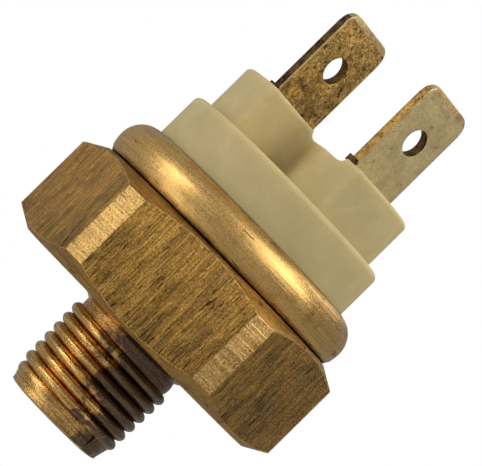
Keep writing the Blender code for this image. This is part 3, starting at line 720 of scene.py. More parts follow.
@dataclass(frozen=True)
class Moulding(Finish):
    """Plastic moulded, pressed or formed in a spark eroded tool.

    It gives the eye a soft, slightly waxy skin, without a sharp glint anywhere, and a faint mottle
    where the melt flowed.
    """

    colour: str = "#D8C899"
    shade: str = "#CBBB8B"
    roughness: float = 0.62
    mottle: float = 2.5         # size of the flow mottle in mm
    grain: float = 0.16         # size of the tool's texture in mm, drawn coarser than its real 0.03
    grain_depth: float = 0.006  # mm
    glow: float = 0.6           # how much light travels inside
    glow_reach: float = 1.8     # mm, how far it travels

    def shader(self, graph: Graph, in_mm: Socket) -> Socket:
        """Build the plastic: flow mottle and the tool's fine grain.

        Args:
            graph: The material's tree.
            in_mm: Places on the piece, in millimetres.

        Returns:
            The shader's output.
        """
        flow = graph.add("TexNoise", {"Vector": in_mm, "Scale": 1 / self.mottle, "Detail": 4.0,
                                      "Roughness": 0.55, "Distortion": 0.6})
        grain = graph.add("TexNoise", {"Vector": in_mm, "Scale": 1 / self.grain, "Detail": 2.0,
                                       "Roughness": 0.6})
        share = graph.add("MapRange", {"Value": flow, **NOISE_SPREAD, 3: 0.0, 4: 1.0})
        body = graph.add("Mix", {"Factor": share, 6: srgb(self.colour), 7: srgb(self.shade)}, **COLOUR_MIX)
        tone = graph.add("MapRange", {"Value": grain, **NOISE_SPREAD, 3: 0.965, 4: 1.03})
        colour = graph.add("VectorMath", {0: body, 3: tone}, operation="SCALE")
        rough = graph.add("MapRange", {"Value": flow, **NOISE_SPREAD, 3: self.roughness - 0.06,
                                       4: self.roughness + 0.06})
        bump = graph.add("Bump", {"Height": grain, "Distance": self.grain_depth * MM, "Strength": 1.0})
        return graph.add("BsdfPrincipled", {
            "Base Color": colour, "Roughness": rough, "Normal": bump, "IOR": 1.5,
            "Subsurface Weight": self.glow, "Subsurface Radius": (1.0, 0.8, 0.5),
            "Subsurface Scale": self.glow_reach * MM})


@dataclass(frozen=True)
class WhiteMetal(Finish):
    """Steel or silver: drawn, stamped or coined, with its making marks and a little dulling.

    It gives the eye a grey metal with fine lines and cloudy, duller patches.
    """

    colour: str = "#B9BBBD"
    dull: str = "#84868A"
    lay: Lay = Lay.TURNED
    mark: float = 0.12          # width of a mark in mm
    stretch: float = 25.0       # length of a mark over its width
    mark_depth: float = 0.006   # mm
    roughness: float = 0.3
    patch: float = 1.2          # size of a dull cloud in mm

    def shader(self, graph: Graph, in_mm: Socket) -> Socket:
        """Build the metal: fine marks over cloudy patches.

        Args:
            graph: The material's tree.
            in_mm: Places on the piece, in millimetres.

        Returns:
            The shader's output.
        """
        marks_at = lay_places(graph, in_mm, self.lay, self.stretch)
        marks = graph.add("TexNoise", {"Vector": marks_at, "Scale": 1 / self.mark, "Detail": 4.0})
        cloud = graph.add("TexNoise", {"Vector": in_mm, "Scale": 1 / self.patch, "Detail": 4.0})
        share = graph.add("MapRange", {"Value": cloud, 1: 0.4, 2: 0.7, 3: 0.0, 4: 0.8})
        body = graph.add("Mix", {"Factor": share, 6: srgb(self.colour), 7: srgb(self.dull)}, **COLOUR_MIX)
        rough = graph.add("MapRange", {"Value": cloud, 1: 0.35, 2: 0.7, 3: self.roughness - 0.05,
                                       4: self.roughness + 0.15})
        bump = graph.add("Bump", {"Height": marks, "Distance": self.mark_depth * MM, "Strength": 1.0})
        return graph.add("BsdfPrincipled", {"Base Color": body, "Metallic": 1.0, "Roughness": rough,
                                            "Normal": bump})


@dataclass(frozen=True)
class Rubber(Finish):
    """Nitrile rubber, compression moulded.

    It gives the eye a near black with a soft sheen and a faint grey bloom.
    """

    colour: str = "#1B1A19"
    bloom: str = "#35332F"
    cloud: float = 1.25         # size of a patch of bloom in mm
    grain: float = 1 / 9        # size of the mould's grain in mm, drawn coarser than its real 0.03
    grain_depth: float = 0.008  # mm
    roughness: Point2 = (0.42, 0.6)     # clean and bloomed

    def shader(self, graph: Graph, in_mm: Socket) -> Socket:
        """Build the rubber: a cloudy bloom and a fine grain.

        Args:
            graph: The material's tree.
            in_mm: Places on the piece, in millimetres.

        Returns:
            The shader's output.
        """
        cloud = graph.add("TexNoise", {"Vector": in_mm, "Scale": 1 / self.cloud, "Detail": 5.0})
        grain = graph.add("TexNoise", {"Vector": in_mm, "Scale": 1 / self.grain, "Detail": 2.0})
        share = graph.add("MapRange", {"Value": cloud, 1: 0.45, 2: 0.7, 3: 0.0, 4: 1.0})
        colour = graph.add("Mix", {"Factor": share, 6: srgb(self.colour), 7: srgb(self.bloom)}, **COLOUR_MIX)
        clean, bloomed = self.roughness
        rough = graph.add("MapRange", {"Value": cloud, **NOISE_SPREAD, 3: clean, 4: bloomed})
        bump = graph.add("Bump", {"Height": grain, "Distance": self.grain_depth * MM, "Strength": 1.0})
        return graph.add("BsdfPrincipled", {"Base Color": colour, "Roughness": rough, "Normal": bump,
                                            "IOR": 1.52})


# The hexagon's flats are drawn bar that nothing has touched since: brown gold, with long dark streaks
# along the axis and dull between them.
BAR = Brass("brass_drawn_bar", colour="#C39751", tarnish="#957645", stain="#2E231A", lay=Lay.DRAWN,
            mark=0.15, stretch=17, mark_depth=0.06, contrast=0.75, roughness=0.38, nicked=0.75, patch=3.6,
            pitting=0.3)
# The hexagon's corners are skimmed by the lathe: pale gold strips with fine lines across them.
CORNER = Brass("brass_turned_corner", colour="#E6BC78", tarnish="#C09254", stain="#5A4020", lay=Lay.TURNED,
               mark=0.17, stretch=60, mark_depth=0.06, contrast=0.42, tarnished=0.3, nicked=0.4, pitting=0.3)
# The chamfers at the hexagon's ends are turned and left: browner than the corners, with ragged lines.
CHAMFERED = Brass("brass_turned_chamfer", colour="#B48C4A", tarnish="#8E713C", stain="#33261A",
                  lay=Lay.TURNED, mark=0.2, stretch=12, mark_depth=0.05, contrast=0.4, roughness=0.42,
                  nicked=0.7, pitting=0.3)
# The face under the ring is painted in shade: nearly black brown, without a glint.
SHADED_SEAM = Brass("brass_turned_painted_shade", colour="#7E6236", tarnish="#5E4A2C", stain="#221A12", lay=Lay.TURNED,
             mark=0.2, stretch=12, mark_depth=0.05, contrast=0.4, roughness=0.5, tarnished=0.6, nicked=0.8,
             pitting=0.3)
# The set screw is turned with a sharp tool: light, clean gold with thin rings.
TURNED = Brass("brass_turned", colour="#E6C27A", tarnish="#C39A55", lay=Lay.TURNED, mark=0.2, stretch=40,
               mark_depth=0.02, contrast=0.15, roughness=0.3, tarnished=0.35, nicked=0.1, pitting=0.08)
# The bores and the pressure plate are turned too, but a little duller, because oil has dried on them.
BORED = Brass("brass_bored", colour="#D8B268", tarnish="#A98648", lay=Lay.TURNED, mark=0.18, stretch=40,
              contrast=0.15, roughness=0.32, tarnished=0.3, nicked=0.0, pitting=0.08)
# The thread is cut by a die: narrow glints on its crests, copper painted into its roots as shade, and a burnt
# brown patch.
THREAD = ThreadBrass("brass_cut_thread", colour="#E2B872", tarnish="#B07A30", stain="#6A584C",
                     lay=Lay.TURNED, mark=0.2, stretch=24, mark_depth=0.03, contrast=0.55, roughness=0.2,
                     nicked=0.6, patch=1.3, pitting=0.22)
# The ring is tube, rolled over: a broad soft glint with hoop lines in it.
ROLLED = RolledBrass("brass_rolled", colour="#E6BC76", tarnish="#C49A5C", stain="#3F2C18", lay=Lay.TURNED,
                     mark=0.22, mark_depth=0.026, contrast=0.24, roughness=0.3, tarnished=0.4, nicked=0.55,
                     patch=2.2, pitting=0.1)
# The left blade has tarnished in spots: gold speckled with dark brown.
BLADE_LEFT = Brass("brass_strip_mottled", colour="#D6AE68", tarnish="#8A7040", stain="#2E2218", mark=0.32,
                   mark_depth=0.09, contrast=0.75, roughness=0.38, nicked=0.8, patch=0.8, pitting=0.3,
                   oxide=0.2)
# The right blade has an even film: a pale, greenish straw colour, nearly matt.
BLADE_RIGHT = Brass("brass_strip_dull", colour="#D6C292", tarnish="#C0B184", stain="#6E6040", mark=0.3,
                    mark_depth=0.03, contrast=0.16, roughness=0.46, nicked=0.45, patch=1.0, pitting=0.1,
                    oxide=0.6)
# The left blade's near edge and the staking lugs are painted dark and rough, and the walls of both eyes take
# the same finish as painted shade.
DARK_EDGE_AND_SHADE = Brass("brass_dark_edge_and_shade", colour="#6E5738", tarnish="#46382A", stain="#191410",
                     mark=0.2, mark_depth=0.06, contrast=0.6, roughness=0.5, tarnished=0.6, nicked=0.8,
                     patch=0.6, pitting=0.35)
# The right blade's near edge was cut clean: a thin line of gold.
SHEARED_BRIGHT = Brass("brass_sheared_bright", colour="#C29C58", tarnish="#8F7040", stain="#3A2C1C",
                       mark=0.22, mark_depth=0.04, contrast=0.4, roughness=0.42, nicked=0.7, patch=0.8,
                       pitting=0.3)
# The blades' tips and far edges are pressed in a coining tool: smooth, pale, with a soft glint.
COINED = Brass("brass_coined", colour="#DCC08A", tarnish="#C0A06A", stain="#6A5636", mark=0.3,
               mark_depth=0.03, contrast=0.2, roughness=0.36, tarnished=0.4, nicked=0.4, patch=1.0,
               pitting=0.12, oxide=0.4)
# The base is unfilled polyamide, injection moulded: cream, matt and a little translucent.
CREAM = Moulding("polyamide_moulded")
# The guide is phenolic resin, pressed hot: dark brown with a dull gloss, and opaque.
PHENOLIC = Moulding("phenolic_pressed", colour="#4A3527", shade="#38281E", roughness=0.42, mottle=0.9,
                    glow=0.0)
# The pin is vulcanised fibre, turned: brick red and dry.
RED_FIBRE = Moulding("vulcanised_fibre", colour="#8A3B24", shade="#6F2D1C", roughness=0.55, mottle=0.7,
                     glow=0.0)
# The diaphragm is polyimide film, formed hot: amber with a clear gloss.
FILM = Moulding("polyimide_film", colour="#B5762A", shade="#9A601E", roughness=0.22, mottle=2.0, glow=0.0)
# The ring over the diaphragm and the washers are stamped steel: plain grey with fine arcs.
STEEL = WhiteMetal("steel_stamped")
# The spring is hard drawn steel wire: darker, with a tighter glint.
SPRING_WIRE = WhiteMetal("steel_spring_wire", colour="#A3A6A8", dull="#6F7274", mark=0.08, roughness=0.26)
# The contacts are coined silver: white and a little cloudy.
SILVER = WhiteMetal("silver_coined", colour="#E6E1D6", dull="#B4AFA2", roughness=0.28, patch=0.6)
# The bridge is phosphor bronze strip, stamped: pinker than the brass, and smooth.
BRONZE = Brass("phosphor_bronze_strip", colour="#C98A58", tarnish="#9B6238", stain="#5A3722", mark=0.3,
               contrast=0.12, roughness=0.32, tarnished=0.3, nicked=0.1, pitting=0.08)
# The sealing cords are nitrile rubber, moulded: near black, with a faint bloom.
NITRILE = Rubber("nitrile_rubber")


# ---------------------------------------------------------------------------------------------
# Sub-assemblies


@dataclass
class BrassBody:
    """The body: threaded stud, hexagon, rim and bore, machined from one length of hexagon bar."""

    flats: float = 24.0 * MM
    turn: float = math.radians(7.4)     # of the hexagon round the axis
    height: float = 8.7 * MM
    corner_cut: float = 0.52 * MM       # how far turning takes each corner back
    chamfer_drop: float = 1.05 * MM
    chamfer_in: float = 1.8 * MM
    edge: float = 0.05 * MM
    thread_diameter: float = 10.25 * MM
    taper: float = 1 / 16
    pitch: float = 1.0 * MM
    depth: float = 0.5 * MM             # of the thread
    crest_power: float = 0.6            # below 1 it makes the crests broad and the roots narrow
    run_out: float = 0.6                # turns over which the thread fades in and out
    plain: float = 0.8 * MM             # length of the stud that holds no thread
    neck_flare: float = 0.35 * MM       # where the stud meets the hexagon
    end_round: float = 0.9 * MM         # length of the rounded end
    end_in: float = 1.2 * MM            # how far it draws in
    port: float = 1.5 * MM
    port_chamfer: float = 0.4 * MM
    neck: float = 9.71 * MM             # radius under the rim that the ring grips
    rim: float = 10.86 * MM
    rim_low: float = 9.80 * MM
    rim_high: float = 10.5 * MM
    rim_chamfer: float = 0.1 * MM
    bore: float = 9.0 * MM
    bore_floor: float = 3.5 * MM
    chamber: float = 5.6 * MM
    chamber_floor: float = 2.0 * MM
    groove_in: float = 6.35 * MM        # of the groove for the diaphragm's seal
    groove_out: float = 8.05 * MM
    groove_floor: float = 2.05 * MM
    facets: int = 192
    thread_facets: int = 128            # round the stud
    thread_rows: int = 12               # along one turn of the thread

    def __post_init__(self) -> None:
        """Take the stud's length from the frame."""
        low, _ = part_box("body")
        self.length = -low.z

    def crest(self, down: float) -> float:
        """The thread's crest radius at a distance below the hexagon."""
        return (self.thread_diameter - down * self.taper) / 2

    def limit(self, down: float) -> float:
        """The radius that the rounded end leaves at a distance below the hexagon."""
        share = max(0.0, (down - self.length + self.end_round) / self.end_round)
        return self.crest(down) - self.end_in * (1 - math.sqrt(max(0.0, 1 - share ** 2)))

    def thread_point(self, turn: int, along: float, swept: float, start: float, turns: int) -> Vector:
        """Find a point on the thread's surface.

        Args:
            turn: The number of whole turns before it.
            along: How far through its turn's ridge it lies, from 0 to 1.
            swept: How far round the stud it lies, from 0 to 1.
            start: Where the thread starts, below the hexagon.
            turns: The number of turns.

        Returns:
            The point.
        """
        rise = math.sin(math.pi * along) ** self.crest_power
        gone = turn + swept
        fade = min(1.0, gone / self.run_out, max(0.0, (turns - gone) / self.run_out))
        down = start + (gone + along) * self.pitch
        radius = min(self.crest(down) - self.depth * (1 - rise * fade), self.limit(down))
        angle = 2 * math.pi * swept
        return Vector((radius * math.cos(angle), radius * math.sin(angle), -down))

    def stud(self) -> bmesh.types.BMesh:
        """Cut the thread: one round-crested helical ridge that fades out at both ends.

        Returns:
            The stud as a closed mesh, which runs on a little into the hexagon.
        """
        around, per_turn = self.thread_facets, self.thread_rows
        turns = round((self.length - self.plain) / self.pitch) - 1
        start = (self.length - (turns + 1) * self.pitch) / 2
        mesh = bmesh.new()
        rows = []
        for index in range(turns * per_turn):
            turn, part = divmod(index, per_turn)
            rows.append([mesh.verts.new(self.thread_point(turn, part / per_turn, step / around, start, turns))
                         for step in range(around)])
        for upper, lower in zip(rows, rows[1:]):
            for step in range(around - 1):
                mesh.faces.new((upper[step], upper[step + 1], lower[step + 1], lower[step]))
        # The last column of a row meets the first column of the row one turn further on.
        for here in range(len(rows) - per_turn - 1):
            after = here + per_turn
            mesh.faces.new((rows[here][-1], rows[after][0], rows[after + 1][0], rows[here + 1][-1]))

        def plain_row(radius: float, height: float) -> list[bmesh.types.BMVert]:
            """A row of vertices at one height."""
            return [mesh.verts.new(point) for point in circle(radius, height, around)]

        # Above the thread: a post inside the hexagon, the flare, and the run-in groove.
        sunk, step_in, step_down = 1.0 * MM, 0.1 * MM, 0.12 * MM
        head = [plain_row(self.crest(0.0) + self.neck_flare, height) for height in (sunk, 0.0)]
        head.append(plain_row(self.crest(0.0) - step_in, -step_down))
        head.append(plain_row(self.crest(start) - self.depth, -0.9 * start))
        # Below it: the plain end, which rounds off.
        below = start + (turns + 1) * self.pitch
        foot = []
        for share in (0.1, 0.25, 0.4, 0.55, 0.7, 0.85, 1.0):
            down = below + (self.length - below) * share
            foot.append(plain_row(min(self.crest(down) - self.depth, self.limit(down)), -down))
        for upper, lower in list(zip(head, head[1:])) + list(zip(foot, foot[1:])):
            for here in range(around):
                after = (here + 1) % around
                mesh.faces.new((upper[here], upper[after], lower[after], lower[here]))
        mesh.faces.new(head[0])
        mesh.faces.new(foot[-1])
        for upper, lower in ((head[-1], rows[0]), (rows[-1], foot[0])):
            for step in range(around - 1):
                mesh.faces.new((upper[step], upper[step + 1], lower[step + 1], lower[step]))
        # One face at each end closes the step between the helix's first column and its last.
        first = [row[0] for row in rows[:per_turn + 1]]
        mesh.faces.new([head[-1][-1], head[-1][0]] + first + [rows[0][-1]])
        tail = [row[-1] for row in rows[-per_turn - 1:]]
        mesh.faces.new([foot[0][0], foot[0][-1]] + tail[::-1] + [rows[-1][0]])
        bmesh.ops.recalc_face_normals(mesh, faces=mesh.faces)
        return mesh

    def turned_envelope(self) -> bmesh.types.BMesh:
        """The shape that the lathe leaves: it skims the corners and chamfers both ends.

        Returns:
            The shape as a closed mesh.
        """
        corner = self.flats / math.sqrt(3) - self.corner_cut
        past = corner - self.chamfer_in * (1 + MM / self.chamfer_drop)
        return turned_solid([
            (past, -MM), (corner, self.chamfer_drop), (corner, self.height - self.chamfer_drop),
            (past, self.height + MM)], self.facets)

    def build(self) -> bpy.types.Object:
        """Machine the body from its bar.

        Returns:
            The finished piece.
        """
        radius = self.flats / math.sqrt(3)
        corners = [self.turn + math.radians(30 + 60 * side) for side in range(6)]
        bar = prism([(radius * math.cos(a), radius * math.sin(a)) for a in corners], 0.0, self.height)
        work = Workpiece("body_visual", bar).combine(Operation.KEEP, self.turned_envelope())
        work.soften(self.edge, angle=14.0)
        cut = self.rim_chamfer
        lip = turned_solid([
            (self.neck, self.height - MM), (self.neck, self.rim_low), (self.rim - cut, self.rim_low),
            (self.rim, self.rim_low + cut), (self.rim, self.rim_high - cut),
            (self.rim - cut, self.rim_high)], self.facets)
        work.combine(Operation.JOIN, lip)
        work.combine(Operation.JOIN, self.stud())
        mouth = self.port + self.port_chamfer
        work.combine(Operation.CUT, turned_solid([
            (mouth, -self.length - MM), (mouth, -self.length), (self.port, -self.length + self.port_chamfer),
            (self.port, self.chamber_floor), (self.chamber, self.chamber_floor),
            (self.chamber, self.bore_floor), (self.groove_in, self.bore_floor),
            (self.groove_in, self.groove_floor), (self.groove_out, self.groove_floor),
            (self.groove_out, self.bore_floor), (self.bore, self.bore_floor),
            (self.bore, self.rim_high + MM)], self.facets // 2))
        piece = work.dress([BAR, CORNER, THREAD, BORED, CHAMFERED, SHADED_SEAM], self.finish_of)
        return settle(piece, "switch_body", "body")

    def finish_of(self, centre: Vector, normal: Vector) -> Finish:
        """Say which finish a face has, by where it lies and which way it looks.

        Args:
            centre: The face's centre.
            normal: Its normal.

        Returns:
            The finish.
        """
        radius = math.hypot(centre.x, centre.y)
        outward = (centre.x * normal.x + centre.y * normal.y) / max(radius, MM)
        if outward < -0.5 or radius < self.port + self.port_chamfer + NEAR:
            return BORED
        if centre.z < -HAIR and radius < self.crest(0.0) + self.neck_flare + NEAR:
            return THREAD
        # Faces that look up sit under the ring, and their finish there is painted shade.
        level = normal.z > 0.9
        if centre.z > self.height - HAIR and radius < self.rim + MM:
            return SHADED_SEAM if level else BORED
        if self.on_flat(normal) and abs(normal.z) < 0.1:
            return BAR
        if abs(normal.z) < 0.3:
            return CORNER
        return SHADED_SEAM if level else CHAMFERED

    def on_flat(self, normal: Vector) -> bool:
        """Say whether a face looks the way that one of the hexagon's six flats does.

        Args:
            normal: The face's normal.

        Returns:
            True where it does, within 3 degrees.
        """
        side = math.radians(60)
        heading = (math.atan2(normal.y, normal.x) - self.turn) % side
        return min(heading, side - heading) < math.radians(3)


@dataclass
class CrimpRing:
    """The brass ring, rolled over the body's rim and the base's flange."""

    wall: float = 0.6 * MM
    waist: float = 1.23 * MM        # height of the widest place
    belly: float = 0.28 * MM        # how far the side bulges below it
    top_reach: float = 1.96 * MM    # how far the upper roll reaches in from the widest place
    lip_round: float = 0.22 * MM
    lip_play: float = 0.08 * MM     # to the base's side
    neck_play: float = 0.15 * MM    # to the body's neck
    neck_chamfer: float = 0.12 * MM
    seated: float = 0.2 * MM        # how far rolling presses it down, out of the design's assembly gap
    ripple: float = 0.02 * MM       # how far rolling leaves the surface uneven
    ripple_length: float = 2.6 * MM
    ripple_seed: float = 3.0
    facets: int = 256

    def build(self, base_radius: float, neck_radius: float) -> bpy.types.Object:
        """Roll the ring.

        Args:
            base_radius: The side of the base inside the upper lip.
            neck_radius: The body's neck inside the lower lip.

        Returns:
            The finished piece.
        """
        low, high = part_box("crimp_ring")
        bottom = low.z - self.seated
        outer, height = high.x, high.z - bottom
        waist = self.waist + self.seated
        rise = height - waist
        curve = (waist ** 2 + self.belly ** 2) / (2 * self.belly)
        tuck = math.degrees(math.asin(waist / curve))
        centre = (outer - self.top_reach, waist)
        edge = base_radius + self.lip_play
        lip = self.lip_round
        foot = (outer - self.belly - lip, lip)
        side = arc((outer - curve, waist), (curve, curve), -tuck, 0, 10)
        inside = neck_radius + self.neck_play
        profile = arc(foot, (lip, lip), -90, 0, 4)
        profile += [point for point in side if point[1] > lip * 1.3]
        profile += arc(centre, (self.top_reach, rise), 3, 90, 24)
        profile += arc((edge + lip, height - lip), (lip, lip), 90, 180, 5)
        profile += [(edge, height - self.wall)]
        profile += arc(centre, (self.top_reach - self.wall, rise - self.wall), 90, 0, 16)[1:]
        profile += [(outer - self.wall, self.wall), (inside, self.wall), (inside, self.neck_chamfer),
                    (inside + self.neck_chamfer, 0.0)]
        ring = Workpiece("crimp_ring_visual", turned_ring(profile, self.facets))
        ring.place(Matrix.Translation((0.0, 0.0, bottom)))
        ring.roughen(self.ripple, self.ripple_length, self.ripple_seed)
        return settle(ring.dress([ROLLED]), "switch_body", "crimp_ring")


@dataclass
class TerminalBase:
    """The moulded base: a turned lower tier, two lobes with a pocket beside each, and the bores."""

    lower_height: float = 4.04 * MM
    insert: float = 8.75 * MM           # radius of the part inside the body
    insert_chamfer: float = 0.3 * MM
    seal_groove: float = 7.66 * MM
    seal_low: float = 8.63 * MM
    seal_high: float = 9.97 * MM
    flange_bottom: float = 10.75 * MM
    flange_middle: Point2 = (9.8 * MM, 10.18 * MM)      # (r, z) that its rounded top is drawn round
    flange_radii: Point2 = (1.11 * MM, 1.24 * MM)       # outward and upward
    lower: float = 9.72 * MM            # radius of the lower tier
    upper: float = 8.52 * MM            # radius of the lobes
    edge_round: float = 0.5 * MM
    lobe_round: float = 0.38 * MM
    corner_round: float = 0.45 * MM
    wall_x: float = -0.3 * MM           # the pocket's wall beside the lobe
    wall_inner_y: float = -1.9 * MM
    shoulder_x: float = 3.6 * MM        # where the lobe's front starts
    front_y: float = -4.2 * MM
    fillet: float = 0.8 * MM
    shoulder: float = 1.0 * MM
    groove_width: float = 3.2 * MM
    groove_depth: float = 0.6 * MM
    groove_turn: float = math.radians(131)
    cavity: float = 7.0 * MM
    ceiling: float = 12.25 * MM
    spring_bore: float = 2.45 * MM
    spring_top: float = 15.36 * MM
    screw_bore: float = 1.75 * MM
    blade_thickness: float = 0.8 * MM
    slot_play: float = 0.06 * MM        # round each blade
    facets: int = 192
    bore_facets: int = 96
    corner_facets: int = 8

    def __post_init__(self) -> None:
        """Take the heights from the frame."""
        low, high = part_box("terminal_base")
        _, ring_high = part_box("crimp_ring")
        self.bottom, self.top = low.z, high.z
        self.floor = ring_high.z + self.lower_height

    def tier(self) -> bmesh.types.BMesh:
        """Turn the insert, the flange under the ring, and the lower tier.

        Returns:
            The three as one closed mesh.
        """
        _, middle = self.flange_middle
        _, rise = self.flange_radii
        start = math.degrees(math.asin((self.flange_bottom - middle) / rise))
        flange = [point for point in arc(self.flange_middle, self.flange_radii, start, 90, 12)
                  if point[0] > self.lower]
        corner = (self.lower - self.edge_round, self.floor - self.edge_round)
        cut = self.insert_chamfer
        return turned_solid([
            (self.insert - cut, self.bottom), (self.insert, self.bottom + cut),
            (self.insert, self.seal_low), (self.seal_groove, self.seal_low),
            (self.seal_groove, self.seal_high), (self.insert, self.seal_high),
            (self.insert, self.flange_bottom), *flange, (self.lower, middle + rise),
            *arc(corner, (self.edge_round, self.edge_round), 0, 90, 7)], self.facets)

    def lobes(self) -> bmesh.types.BMesh:
        """Extrude the two lobes from their plan, with a rounded top edge.

        Returns:
            Both lobes and the waist between them, as one closed mesh.
        """
        wall = math.acos(self.wall_x / self.upper)
        front = math.asin(self.front_y / self.upper)
        half = [
            (self.wall_x, -self.upper * math.sin(wall), self.corner_round),
            (self.wall_x, self.wall_inner_y, self.fillet),
            (self.shoulder_x, self.front_y, self.shoulder),
            (self.upper * math.cos(front), self.front_y, self.corner_round)]
        last = math.pi - wall
        steps, left_out = self.facets // 3, 4       # the ends are left out where the corners round off
        for step in range(left_out, steps - left_out + 1):
            turn = front + (last - front) * step / steps
            half.append((self.upper * math.cos(turn), self.upper * math.sin(turn), 0.0))
        corners = half + [(-x, -y, corner) for x, y, corner in half]
        mesh = prism(rounded_outline(corners, self.corner_facets), self.floor - MM, self.top)
        top = [edge for edge in mesh.edges if all(vert.co.z > self.top - HAIR for vert in edge.verts)]
        bmesh.ops.bevel(mesh, geom=top, offset=self.lobe_round, segments=5, profile=0.5, affect="EDGES")
        return mesh

    def waist_groove(self) -> bmesh.types.BMesh:
        """The shallow trough across the waist.

        Returns:
            What is cut away.
        """
        half, depth = self.groove_width / 2, self.groove_depth
        corners = [(-half, -depth, depth), (half, -depth, depth), (half, MM, 0.0), (-half, MM, 0.0)]
        along = Vector((math.cos(self.groove_turn), math.sin(self.groove_turn), 0.0))
        across = Vector((along.y, -along.x, 0.0))
        section = [across * x + Vector((0.0, 0.0, self.top + y))
                   for x, y in rounded_outline(corners, self.corner_facets)]
        return loft([[point + along * reach for point in section] for reach in (-self.upper, self.upper)])

    def blade_slot(self, side: Side) -> bmesh.types.BMesh:
        """The slot that a blade stands in.

        Args:
            side: The blade's side.

        Returns:
            What is cut away.
        """
        low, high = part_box(f"blade_terminal_{side.name.lower()}")
        inner = high.x - self.blade_thickness if side is Side.RIGHT else low.x
        play = Vector((self.slot_play, self.slot_play, 0.0))
        slot_low = Vector((inner, low.y, self.ceiling - MM))
        slot_high = Vector((inner + self.blade_thickness, high.y, self.top + MM))
        return block(slot_low - play, slot_high + play)

    def build(self) -> bpy.types.Object:
        """Mould the base.

        Returns:
            The finished piece.
        """
        work = Workpiece("terminal_base_visual", self.tier())
        work.combine(Operation.JOIN, self.lobes()).combine(Operation.CUT, self.waist_groove())
        work.combine(Operation.CUT, turned_solid([
            (self.cavity, self.bottom - MM), (self.cavity, self.ceiling), (self.spring_bore, self.ceiling),
            (self.spring_bore, self.spring_top), (self.screw_bore, self.spring_top),
            (self.screw_bore, self.top + MM)], self.bore_facets))
        for side in Side:
            work.combine(Operation.CUT, self.blade_slot(side))
        return settle(work.dress([CREAM], crease=38.0), "switch_body", "terminal_base")


